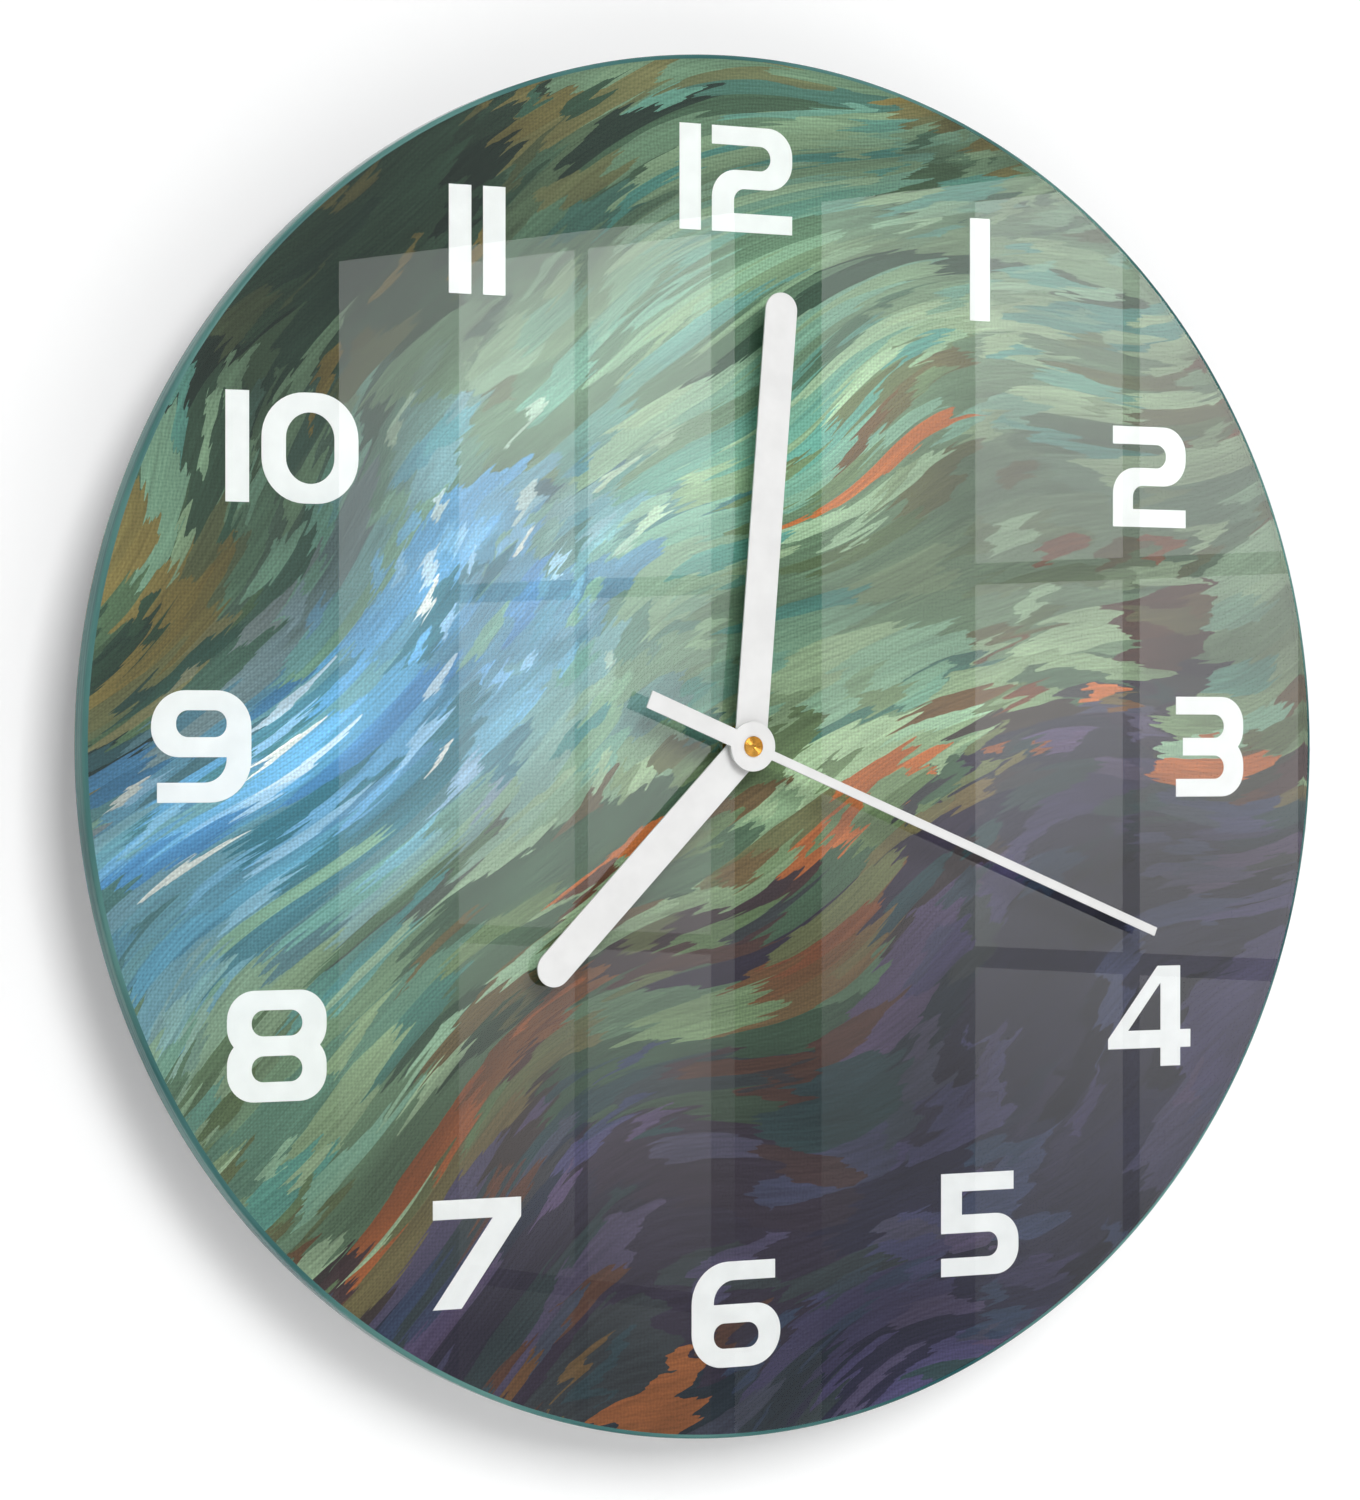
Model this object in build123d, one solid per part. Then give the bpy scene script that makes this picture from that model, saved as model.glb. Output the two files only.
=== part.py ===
from build123d import *
import math
import os

# Round glass wall clock: a picture and hour numerals printed behind the glass, three hands in front
# of it and a battery quartz movement on its back.
# Every piece is laid out on a bench frame, with the hands' axis along +Z towards the viewer, +Y up
# the dial and z = 0 at the back of the printed film. Sizes are in millimetres, angles in degrees.

# Dial
dial_diameter = 300.0
glass_thickness = 5.0
glass_chamfer = 0.6
film_thickness = 0.25
film_margin = 0.5
ink_thickness = 0.1

# Numerals, drawn with plain bars and round bowls
numeral_edge_gap = 26.5
numeral_height = 23.0
numeral_stem = 5.4
numeral_bar = 4.1
bowl_radius = 6.0
counter_radius = 2.6
digit_gap = 2.7
ten_inset = 3.4
one_width = 5.2
two_width = 19.8
three_width = 18.6
four_width = 22.4
five_width = 20.2
six_width = 21.8
seven_width = 20.4
eight_width = 22.0
zero_width = 21.6
waist_inset = 1.9
four_crossbar_low = 4.2
four_stem_right = 19.6
four_apex_left = 13.4
four_toe_height = 6.5
five_bowl_height = 13.7
flag_setback = 1.3
shoulder_radius = 9.0
foot_radius = 7.5
seven_foot = 6.6
zero_radius = 9.5

# Hands
hand_thickness = 0.4
hand_hub_radius = 5.0
hour_hand_length = 70.0
hour_hand_width = 7.8
hour_hand_angle = 224.6
minute_hand_length = 98.9
minute_hand_width = 7.7
minute_hand_angle = 4.6
seconds_hand_length = 111.8
seconds_hand_width = 2.0
seconds_tail_length = 27.0
seconds_tail_width = 3.9
seconds_hub_radius = 5.4
seconds_hand_angle = 112.1
boss_cap_radius = 2.25
boss_cap_height = 0.4
boss_neck_radius = 1.3
boss_skirt = 0.2

# Shafts on the hands' axis
bush_radius = 4.0
bush_flange_radius = 6.0
hour_tube_radius = 2.5
cannon_tube_radius = 1.75
seconds_arbor_radius = 0.6
washer_radius = 5.1
washer_thickness = 0.3
nut_radius = 5.2
nut_thickness = 1.4
nut_slot_width = 0.8
nut_slot_depth = 0.7
bush_proud = 0.1
tube_proud = 0.3
hand_gap = 0.35

# Fits
seat_clearance = 0.02
running_clearance = 0.05
pivot_clearance = 0.03
glass_hole_clearance = 0.25

# Movement case
case_corner_radius = 3.0
case_wall = 1.5
front_wall = 1.5
partition_wall = 1.2
train_floor_drop = 10.1
cover_thickness = 1.5
cover_room = 2.0
gasket_thickness = 1.0
gasket_inset = 1.0
gasket_flange_gap = 0.2
pivot_hole_depth = 1.0

# Wheels along the hands' axis: thicknesses and the gaps between them
motion_wheel_thickness = 1.2
centre_wheel_thickness = 0.8
train_wheel_thickness = 0.7
motion_gap = 0.4
train_gap = 0.5
plate_gap = 0.5
bridge_gap = 0.7
plate_thickness = 1.2

# Gear teeth: counts, modules and where each arbor lies as seen from its neighbour
pinion_leaves = 8
rotor_wheel_clearance = 0.89
intermediate_teeth = 48
intermediate_module = 0.32
seconds_teeth = 40
third_module = 0.27
third_teeth = 60
centre_teeth = 64
motion_clearance = 0.65
cannon_leaves = 10
minute_teeth = 30
hour_teeth = 32
third_direction = 170.0
minute_direction = 20.0
intermediate_direction = 95.0
rotor_direction = 120.0
third_arbor_radius = 0.5
intermediate_arbor_radius = 0.4
rotor_arbor_radius = 0.35
minute_arbor_radius = 0.6
arbor_hole_clearance = 0.4

# Clutch between the centre wheel and the cannon pinion
clutch_boss_radius = 1.5
clutch_spring_radius = 2.3
clutch_spring_clearance = 0.05

# Train plates and their pillars
post_radius = 1.8
pillar_offset = 0.7
pillar_stator_gap = 0.7
plate_clearance = 0.3
plate_top_margin = 2.3
train_screw_radius = 0.8
train_screw_head_radius = 1.6
train_screw_head = 0.9
train_screw_depth = 3.0

# Stepping motor
magnet_radius = 2.6
magnet_thickness = 1.2
stator_gap = 0.4
stator_rim = 1.3
stator_bar_width = 4.4
stator_thickness = 0.8
stator_end_gap = 0.4
coil_stator_gap = 0.8
coil_core_width = 3.2
coil_core_thickness = 0.8
bobbin_wall = 0.5
bobbin_flange_radius = 3.7
bobbin_flange_thickness = 0.8
winding_radius = 3.2
coil_clearance = 0.3
core_clearance = 0.1

# Circuit board
board_edge_gap = 0.2
board_thickness = 1.0
board_standoff = 1.0
board_end_gap = 1.2
board_hole_clearance = 0.15
board_step = 0.8
stator_post_radius = 2.0
crystal_radius = 1.0
crystal_length = 6.0
crystal_tab_gap = 1.85
chip_radius = 2.6
chip_height = 1.2
chip_place = -4.0
solder_gap = 0.02

# Battery and its contacts
battery_diameter = 14.5
battery_body_length = 49.2
battery_nub_radius = 2.75
battery_nub_length = 1.3
bay_clearance = 0.35
contact_thickness = 0.4
contact_inset = 0.05
contact_gap = 0.1
contact_plate_width = 9.0
contact_strip_width = 4.0
contact_tab_length = 3.6
contact_tab_width = 3.0
spring_reach = 1.4
spring_base_radius = 4.0
spring_tip_radius = 2.5

# Time setting knob
knob_radius = 5.0
knob_gap = 0.4
knob_proud = 0.8
knob_inner_gap = 0.6
knob_flutes = 16
knob_flute_radius = 0.5
knob_arbor_cover = 1.0

# Hanger and wall spacers
hanger_thickness = 1.0
hanger_hole_radius = 4.0
nail_room = 4.0
hanger_margin = 3.5
hanger_head_half_width = 9.0
hanger_corner_radius = 2.0
cover_post_radius = 2.2
cover_post_gap = 0.85
cover_screw_radius = 1.1
cover_screw_head_radius = 2.2
cover_screw_head = 0.8
cover_screw_depth = 4.0
wall_gap = 0.7
spacer_radius = 8.0
spacer_edge_gap = 45.0
spacer_count = 4

# Tooth forms: width at the pitch circle and at the tip as a share of the pitch, and the heights
# above and below the pitch circle as a share of the module
WHEEL_TOOTH = (0.42, 0.20, 0.75, 1.0)
PINION_LEAF = (0.36, 0.18, 0.55, 1.2)

# Stack in front of the film
glass_back = film_thickness + ink_thickness
glass_front = glass_back + glass_thickness
washer_front = glass_front + washer_thickness
nut_front = washer_front + nut_thickness
bush_front = nut_front + bush_proud
hour_hand_back = bush_front + hand_gap
hour_hand_front = hour_hand_back + hand_thickness
hour_tube_front = hour_hand_front + tube_proud
minute_hand_back = hour_tube_front + hand_gap
minute_hand_front = minute_hand_back + hand_thickness
cannon_front = minute_hand_front + tube_proud
seconds_hand_back = cannon_front + hand_gap + boss_skirt
seconds_hand_front = seconds_hand_back + hand_thickness
seconds_arbor_front = seconds_hand_front + boss_cap_height / 2

# Stack behind the film
case_front = -gasket_thickness
case_inner = case_front - front_wall
hour_wheel_front = case_inner - motion_gap
hour_wheel_back = hour_wheel_front - motion_wheel_thickness
minute_wheel_front = hour_wheel_back - motion_gap
minute_wheel_back = minute_wheel_front - motion_wheel_thickness
centre_wheel_front = minute_wheel_back - motion_gap
centre_wheel_back = centre_wheel_front - centre_wheel_thickness
middle_plate_front = centre_wheel_back - plate_gap
middle_plate_back = middle_plate_front - plate_thickness
third_wheel_front = middle_plate_back - motion_gap
third_wheel_back = third_wheel_front - train_wheel_thickness
seconds_wheel_front = third_wheel_back - train_gap
seconds_wheel_back = seconds_wheel_front - train_wheel_thickness
intermediate_front = seconds_wheel_back - train_gap
intermediate_back = intermediate_front - train_wheel_thickness
bridge_front = intermediate_back - bridge_gap
bridge_back = bridge_front - plate_thickness
cover_inner = bridge_back - cover_room
case_back = cover_inner - cover_thickness
hanger_back = case_back - hanger_thickness
wall_plane = hanger_back - cover_screw_head - wall_gap

# The battery bay, which sets the width of the case
contact_depth = contact_inset + contact_thickness + contact_gap
battery_length = battery_body_length + battery_nub_length
inner_half = (battery_length + spring_reach + 2 * contact_depth) / 2
case_width = 2 * (inner_half + case_wall)
contact_outer = inner_half - contact_inset
contact_inner = contact_outer - contact_thickness
battery_tip = contact_inner - contact_gap
battery_tail = battery_tip - battery_length
battery_radius = battery_diameter / 2
battery_depth = case_inner - bay_clearance - battery_radius
partition_high = -train_floor_drop
partition_low = partition_high - partition_wall
battery_height = partition_low - bay_clearance - battery_radius
bay_low = battery_height - battery_radius - bay_clearance
case_low = bay_low - case_wall


def polar(centre, radius, direction):
    """Point at a radius and direction (degrees) from a centre."""
    turn = math.radians(direction)
    return (centre[0] + radius * math.cos(turn), centre[1] + radius * math.sin(turn))


def bearing(start, end):
    """Direction in degrees from one point to another."""
    return math.degrees(math.atan2(end[1] - start[1], end[0] - start[0]))


def centre_distance(module, teeth, leaves):
    """Distance between the arbors of a wheel and a pinion in mesh."""
    return module * (teeth + leaves) / 2


def wheel_tip_share(teeth):
    """Radius over a wheel's teeth, as a share of its module."""
    return teeth / 2 + WHEEL_TOOTH[2]


# Arbors: each wheel is sized to clear the arbors that pass beside it
centre_place = (0.0, 0.0)
third_distance = centre_distance(third_module, third_teeth, pinion_leaves)
third_place = polar(centre_place, third_distance, third_direction)
centre_module = 2 * third_distance / (centre_teeth + pinion_leaves)
centre_tip_radius = centre_module * wheel_tip_share(centre_teeth)
minute_distance = centre_tip_radius + minute_arbor_radius + motion_clearance
minute_place = polar(centre_place, minute_distance, minute_direction)
motion_module = 2 * minute_distance / (minute_teeth + cannon_leaves)
intermediate_distance = centre_distance(intermediate_module, seconds_teeth, pinion_leaves)
intermediate_place = polar(centre_place, intermediate_distance, intermediate_direction)
intermediate_tip_radius = intermediate_distance - seconds_arbor_radius - rotor_wheel_clearance
rotor_module = intermediate_tip_radius / wheel_tip_share(intermediate_teeth)
rotor_distance = centre_distance(rotor_module, intermediate_teeth, pinion_leaves)
rotor_place = polar(intermediate_place, rotor_distance, rotor_direction)

# The motor and the pillars stand round the wheels, and the case closes round the motor
half_bar = stator_bar_width / 2
rotor_hole_radius = magnet_radius + stator_gap
stator_rim_radius = rotor_hole_radius + stator_rim
stator_front = third_wheel_back - train_gap
stator_back = stator_front - stator_thickness
coil_core_back = stator_back - coil_core_thickness
coil_depth = (stator_back + coil_core_back) / 2
coil_height = rotor_place[1] + stator_rim_radius + coil_stator_gap + bobbin_flange_radius
inner_high = coil_height + bobbin_flange_radius + coil_clearance
case_high = inner_high + case_wall
case_height = case_high - case_low
case_middle = (case_high + case_low) / 2
hanger_hole_height = case_high + nail_room + hanger_hole_radius
post_place = third_module * wheel_tip_share(third_teeth) - third_place[0] + pillar_offset
lower_post_height = partition_high + plate_clearance + post_radius
upper_post_height = rotor_place[1] - half_bar - pillar_stator_gap - post_radius
post_places = [
    (side * post_place, height)
    for side in (-1, 1)
    for height in (lower_post_height, upper_post_height)
]
cover_post_place = contact_inner - cover_post_gap - cover_post_radius
cover_post_height = upper_post_height + post_radius + plate_clearance + cover_post_radius
cover_post_places = [(side * cover_post_place, cover_post_height) for side in (-1, 1)]
stator_left = -cover_post_place + cover_post_radius + stator_end_gap + half_bar
stator_right = 2 * rotor_place[0] - stator_left
stator_post_places = [(stator_left, coil_height), (stator_right, coil_height)]
board_front = case_inner - board_standoff
board_back = board_front - board_thickness


def at(place, shape):
    """Move a shape made on the hands' axis to another place on the movement."""
    return Pos(place[0], place[1], 0) * shape


def disc(radius, back, front):
    """Round bar on the hands' axis between two depths."""
    return Pos(0, 0, back) * extrude(Circle(radius), front - back)


def ring(outer_radius, inner_radius, back, front):
    """Round tube on the hands' axis between two depths."""
    return Pos(0, 0, back) * extrude(Circle(outer_radius) - Circle(inner_radius), front - back)


def block(left, right, low, high, back, front):
    """Rectangular block between two corners."""
    size = Box(right - left, high - low, front - back)
    return Pos((left + right) / 2, (low + high) / 2, (back + front) / 2) * size


def rounded_box(left, low, right, high, radii):
    """Flat panel with its own radius at the lower left, lower right, upper right and upper left."""
    corners = [(left, low), (right, low), (right, high), (left, high)]
    return make_face(FilletPolyline(*corners, radius=radii, close=True))


def gear(teeth, module, first_tooth, form, back, front):
    """Toothed disc with straight radial flanks, one tooth pointing in the direction first_tooth."""
    pitch_share, tip_share, rise, drop = form
    pitch_radius = module * teeth / 2
    tip_radius = pitch_radius + rise * module
    root_radius = pitch_radius - drop * module
    pitch_angle = 360 / teeth
    flank = pitch_share * pitch_angle / 2
    tip = tip_share * pitch_angle / 2 * pitch_radius / tip_radius
    profile = [
        (root_radius, -flank),
        (pitch_radius, -flank),
        (tip_radius, -tip),
        (tip_radius, tip),
        (pitch_radius, flank),
        (root_radius, flank),
    ]
    outline = [
        polar((0, 0), radius, first_tooth + tooth * pitch_angle + turn)
        for tooth in range(teeth)
        for radius, turn in profile
    ]
    face = make_face(Polyline(*outline, close=True))
    return Pos(0, 0, back) * extrude(face, front - back)


def wheel(teeth, module, place, mate_place, back, front):
    """Wheel with a tooth on the line to the pinion that it meshes with."""
    return gear(teeth, module, bearing(place, mate_place), WHEEL_TOOTH, back, front)


def pinion(leaves, module, place, mate_place, back, front):
    """Pinion with the gap between two leaves on the line to the wheel that it meshes with."""
    half_pitch = 180 / leaves
    return gear(leaves, module, bearing(place, mate_place) + half_pitch, PINION_LEAF, back, front)


# Numerals
digit_middle = numeral_height / 2
waist_low = digit_middle - numeral_bar / 2
waist_high = digit_middle + numeral_bar / 2
numeral_top_bar = numeral_height - numeral_bar
HOURS = 12
SHARP = (0, 0, 0, 0)
ALL_BOWL = (bowl_radius,) * 4
ALL_COUNTER = (counter_radius,) * 4


def right_bowl(width, low, high):
    """Two bars joined by a round bowl on the right, open to the left."""
    outer = rounded_box(0, low, width, high, (0, bowl_radius, bowl_radius, 0))
    opening_low = low + numeral_bar
    opening_high = high - numeral_bar
    opening_radii = (0, counter_radius, counter_radius, 0)
    return outer - rounded_box(-width, opening_low, width - numeral_stem, opening_high, opening_radii)


def digit_one():
    return rounded_box(0, 0, one_width, numeral_height, SHARP)


def digit_two():
    overlap = numeral_bar / 4
    left_waist = rounded_box(-two_width, waist_low, two_width / 2 - overlap, waist_high, SHARP)
    upper = right_bowl(two_width, waist_low, numeral_height) - left_waist
    shoulder = rounded_box(0, 0, two_width, waist_high, (0, 0, 0, bowl_radius))
    opening = rounded_box(numeral_stem, numeral_bar, 2 * two_width, waist_low, (0, 0, 0, counter_radius))
    right_waist = rounded_box(two_width / 2 + overlap, waist_low, 2 * two_width, waist_high, SHARP)
    return upper + (shoulder - opening - right_waist)


def digit_three():
    bowls = right_bowl(three_width, waist_low, numeral_height) + right_bowl(three_width, 0, waist_high)
    return bowls - rounded_box(-three_width, waist_low, waist_inset, waist_high, SHARP)


def digit_four():
    crossbar_high = four_crossbar_low + numeral_bar
    stem_left = four_stem_right - numeral_stem
    outline = [
        (0, four_crossbar_low),
        (stem_left, four_crossbar_low),
        (stem_left, 0),
        (four_stem_right, 0),
        (four_stem_right, four_crossbar_low),
        (four_width, four_crossbar_low),
        (four_width, crossbar_high),
        (four_stem_right, crossbar_high),
        (four_stem_right, numeral_height),
        (four_apex_left, numeral_height),
        (0, four_toe_height),
    ]
    slope = (numeral_height - four_toe_height) / four_apex_left
    counter_right = crossbar_high + slope * (stem_left - numeral_stem)
    counter = [(numeral_stem, crossbar_high), (stem_left, crossbar_high), (stem_left, counter_right)]
    return make_face(Polyline(*outline, close=True)) - make_face(Polyline(*counter, close=True))


def digit_five():
    bowl = right_bowl(five_width, 0, five_bowl_height)
    stem = rounded_box(0, five_bowl_height - numeral_bar, numeral_stem, numeral_height, SHARP)
    flag = rounded_box(0, numeral_top_bar, five_width - flag_setback, numeral_height, SHARP)
    return bowl + stem + flag


def digit_six():
    bowl = rounded_box(0, 0, six_width, five_bowl_height, (foot_radius, foot_radius, bowl_radius, 0))
    back = rounded_box(0, 0, six_width - flag_setback, numeral_height, (foot_radius, 0, 0, shoulder_radius))
    inner_shoulder = (0, 0, 0, shoulder_radius - numeral_bar)
    back -= rounded_box(numeral_stem, -numeral_height, 2 * six_width, numeral_top_bar, inner_shoulder)
    counter_high = five_bowl_height - numeral_bar
    counter = rounded_box(numeral_stem, numeral_bar, six_width - numeral_stem, counter_high, ALL_COUNTER)
    return bowl + back - counter


def digit_seven():
    slant = seven_width - seven_foot
    outline = [
        (0, numeral_height),
        (0, numeral_top_bar),
        (slant, numeral_top_bar),
        (0, 0),
        (seven_foot, 0),
        (seven_width, numeral_top_bar),
        (seven_width, numeral_height),
    ]
    return make_face(Polyline(*outline, close=True))


def digit_eight():
    lower = rounded_box(0, 0, eight_width, waist_high, ALL_BOWL)
    upper = rounded_box(0, waist_low, eight_width, numeral_height, ALL_BOWL)
    counter_right = eight_width - numeral_stem
    lower_counter = rounded_box(numeral_stem, numeral_bar, counter_right, waist_low, ALL_COUNTER)
    upper_counter = rounded_box(numeral_stem, waist_high, counter_right, numeral_top_bar, ALL_COUNTER)
    return lower + upper - lower_counter - upper_counter


def digit_nine():
    return Pos(six_width, numeral_height) * Rot(0, 0, 180) * digit_six()


def digit_zero():
    outer = rounded_box(0, 0, zero_width, numeral_height, (zero_radius,) * 4)
    counter_radii = (zero_radius - numeral_bar,) * 4
    counter_right = zero_width - numeral_stem
    return outer - rounded_box(numeral_stem, numeral_bar, counter_right, numeral_top_bar, counter_radii)


DIGITS = {
    "0": (digit_zero, zero_width),
    "1": (digit_one, one_width),
    "2": (digit_two, two_width),
    "3": (digit_three, three_width),
    "4": (digit_four, four_width),
    "5": (digit_five, five_width),
    "6": (digit_six, six_width),
    "7": (digit_seven, seven_width),
    "8": (digit_eight, eight_width),
    "9": (digit_nine, six_width),
}


def hour_number(hour):
    """Solids of one hour's digits, centred on the numeral ring and standing upright."""
    digits = [DIGITS[character] for character in str(hour)]
    total_width = sum(width for _, width in digits) + digit_gap * (len(digits) - 1)
    ring_radius = dial_diameter / 2 - numeral_edge_gap
    middle = polar((0, 0), ring_radius, 90 - hour * 360 / HOURS)
    left = middle[0] - total_width / 2 + (ten_inset if hour == 10 else 0)
    low = middle[1] - numeral_height / 2
    solids = []
    for draw, width in digits:
        solids.append(Pos(left, low, film_thickness) * extrude(draw(), ink_thickness))
        left += width + digit_gap
    return solids


def hour_numerals():
    return [solid for hour in range(1, HOURS + 1) for solid in hour_number(hour)]


# Dial pieces
dial_hole_radius = bush_radius + glass_hole_clearance


def glass_dial():
    glass = ring(dial_diameter / 2, dial_hole_radius, glass_back, glass_front)
    rim = glass.edges().filter_by(GeomType.CIRCLE).sort_by(SortBy.RADIUS)[-2:]
    return chamfer(rim, glass_chamfer)


def printed_film():
    return ring(dial_diameter / 2 - film_margin, dial_hole_radius, 0, film_thickness)


def dial_gasket():
    sheet = case_outline(gasket_inset)
    sheet -= Circle(bush_flange_radius + gasket_flange_gap)
    return Pos(0, 0, case_front) * extrude(sheet, gasket_thickness)


def threaded_bush():
    barrel = ring(bush_radius, hour_tube_radius + running_clearance, case_inner, bush_front)
    flange_front = -gasket_flange_gap
    return barrel + ring(bush_flange_radius, bush_radius - seat_clearance, case_front, flange_front)


def front_washer():
    return ring(washer_radius, bush_radius + seat_clearance, glass_front, washer_front)


def ring_nut():
    nut = ring(nut_radius, bush_radius + seat_clearance, washer_front, nut_front)
    slot_half = nut_slot_width / 2
    slot_back = nut_front - nut_slot_depth
    return nut - block(-nut_radius, nut_radius, -slot_half, slot_half, slot_back, nut_front)


# Hands
def blade(length, width, bore_radius):
    """Straight hand with a rounded tip and a round hub, pointing up the dial."""
    tip = length - width / 2
    shape = Pos(0, tip / 2) * Rectangle(width, tip)
    shape += Pos(0, tip) * Circle(width / 2)
    shape += Circle(hand_hub_radius)
    return shape - Circle(bore_radius + seat_clearance)


def hour_hand():
    plate = extrude(blade(hour_hand_length, hour_hand_width, hour_tube_radius), hand_thickness)
    return Pos(0, 0, hour_hand_back) * Rot(0, 0, -hour_hand_angle) * plate


def minute_hand():
    plate = extrude(blade(minute_hand_length, minute_hand_width, cannon_tube_radius), hand_thickness)
    return Pos(0, 0, minute_hand_back) * Rot(0, 0, -minute_hand_angle) * plate


def seconds_hand():
    shape = Pos(0, seconds_hand_length / 2) * Rectangle(seconds_hand_width, seconds_hand_length)
    shape += Pos(0, -seconds_tail_length / 2) * Rectangle(seconds_tail_width, seconds_tail_length)
    shape += Circle(seconds_hub_radius)
    shape -= Circle(boss_neck_radius + seat_clearance)
    plate = extrude(shape, hand_thickness)
    return Pos(0, 0, seconds_hand_back) * Rot(0, 0, -seconds_hand_angle) * plate


def seconds_boss():
    neck = disc(boss_neck_radius, seconds_hand_back - boss_skirt, seconds_hand_front)
    cap = disc(boss_cap_radius, seconds_hand_front, seconds_hand_front + boss_cap_height)
    bore_back = seconds_hand_back - boss_skirt
    return neck + cap - disc(seconds_arbor_radius + seat_clearance, bore_back, seconds_arbor_front)


# Wheels on the hands' axis
def hour_wheel():
    tube = disc(hour_tube_radius, hour_wheel_back, hour_tube_front)
    teeth = wheel(hour_teeth, motion_module, centre_place, minute_place, hour_wheel_back, hour_wheel_front)
    return tube + teeth - disc(cannon_tube_radius + running_clearance, hour_wheel_back, hour_tube_front)


def cannon_pinion():
    leaves = pinion(
        cannon_leaves, motion_module, centre_place, minute_place, minute_wheel_back, minute_wheel_front
    )
    tube = disc(cannon_tube_radius, minute_wheel_back, cannon_front)
    boss = disc(clutch_boss_radius, centre_wheel_back, minute_wheel_back)
    bore = disc(seconds_arbor_radius + running_clearance, centre_wheel_back, cannon_front)
    return leaves + tube + boss - bore


def centre_wheel():
    teeth = wheel(
        centre_teeth, centre_module, centre_place, third_place, centre_wheel_back, centre_wheel_front
    )
    return teeth - disc(clutch_boss_radius + seat_clearance, centre_wheel_back, centre_wheel_front)


def clutch_spring():
    back = centre_wheel_front + clutch_spring_clearance
    front = minute_wheel_back - clutch_spring_clearance
    return ring(clutch_spring_radius, clutch_boss_radius + seat_clearance, back, front)


def seconds_arbor():
    return disc(seconds_arbor_radius, bridge_back, seconds_arbor_front)


def seconds_wheel():
    teeth = wheel(
        seconds_teeth,
        intermediate_module,
        centre_place,
        intermediate_place,
        seconds_wheel_back,
        seconds_wheel_front,
    )
    leaves = pinion(
        pinion_leaves, third_module, centre_place, third_place, seconds_wheel_front, third_wheel_front
    )
    bore = disc(seconds_arbor_radius + seat_clearance, seconds_wheel_back, third_wheel_front)
    return teeth + leaves - bore


# Wheels beside the hands' axis
def third_wheel():
    arbor = disc(third_arbor_radius, bridge_back, case_inner + pivot_hole_depth)
    teeth = wheel(third_teeth, third_module, third_place, centre_place, third_wheel_back, third_wheel_front)
    leaves = pinion(
        pinion_leaves, centre_module, third_place, centre_place, centre_wheel_back, centre_wheel_front
    )
    return at(third_place, arbor + teeth + leaves)


def intermediate_wheel():
    arbor = disc(intermediate_arbor_radius, bridge_back, middle_plate_front)
    teeth = wheel(
        intermediate_teeth,
        rotor_module,
        intermediate_place,
        rotor_place,
        intermediate_back,
        intermediate_front,
    )
    leaves = pinion(
        pinion_leaves,
        intermediate_module,
        intermediate_place,
        centre_place,
        intermediate_front,
        seconds_wheel_front,
    )
    return at(intermediate_place, arbor + teeth + leaves)


def minute_wheel():
    arbor = disc(minute_arbor_radius, case_back + knob_arbor_cover, case_inner + pivot_hole_depth)
    teeth = wheel(
        minute_teeth, motion_module, minute_place, centre_place, minute_wheel_back, minute_wheel_front
    )
    leaves = pinion(
        pinion_leaves, motion_module, minute_place, centre_place, minute_wheel_front, hour_wheel_front
    )
    return at(minute_place, arbor + teeth + leaves)


def setting_knob():
    knob_front = cover_inner + knob_inner_gap
    knob_back = case_back - knob_proud
    outline = Circle(knob_radius)
    for flute in range(knob_flutes):
        notch = polar((0, 0), knob_radius, flute * 360 / knob_flutes)
        outline -= Pos(notch[0], notch[1]) * Circle(knob_flute_radius)
    knob = Pos(0, 0, knob_back) * extrude(outline, knob_front - knob_back)
    bore = disc(minute_arbor_radius + seat_clearance, case_back + knob_arbor_cover, knob_front)
    return at(minute_place, knob - bore)


# Stepping motor
def rotor_pinion():
    arbor = disc(rotor_arbor_radius, bridge_back, middle_plate_front)
    leaves = pinion(
        pinion_leaves, rotor_module, rotor_place, intermediate_place, intermediate_back, intermediate_front
    )
    return at(rotor_place, arbor + leaves)


def rotor_magnet():
    middle = (stator_front + stator_back) / 2
    back = middle - magnet_thickness / 2
    magnet = ring(magnet_radius, rotor_arbor_radius + seat_clearance, back, back + magnet_thickness)
    return at(rotor_place, magnet)


def stator_plate():
    leg_top = coil_height + half_bar
    bar_low = rotor_place[1] - half_bar
    bar_high = rotor_place[1] + half_bar
    sheet = rounded_box(stator_left - half_bar, bar_low, stator_right + half_bar, bar_high, SHARP)
    for middle in (stator_left, stator_right):
        sheet += rounded_box(middle - half_bar, bar_low, middle + half_bar, leg_top, SHARP)
    sheet += Pos(*rotor_place) * Circle(stator_rim_radius)
    sheet -= Pos(*rotor_place) * Circle(rotor_hole_radius)
    for place in stator_post_places:
        sheet -= Pos(*place) * Circle(train_screw_radius + seat_clearance)
    return Pos(0, 0, stator_back) * extrude(sheet, stator_thickness)


def coil_span():
    """Left and right ends of the bobbin, between the legs of the stator."""
    leg = half_bar + coil_clearance
    return stator_left + leg, stator_right - leg


def along_coil(shape_radius, hole, left, right):
    """Round bar along the coil's axis, with a hole cut through it."""
    bar = Rot(0, 90, 0) * extrude(Circle(shape_radius), right - left)
    return Pos(left, coil_height, coil_depth) * bar - hole


slot_width = coil_core_width + 2 * core_clearance
slot_depth = coil_core_thickness + 2 * core_clearance
bobbin_tube_radius = math.hypot(slot_width, slot_depth) / 2 + bobbin_wall


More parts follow.
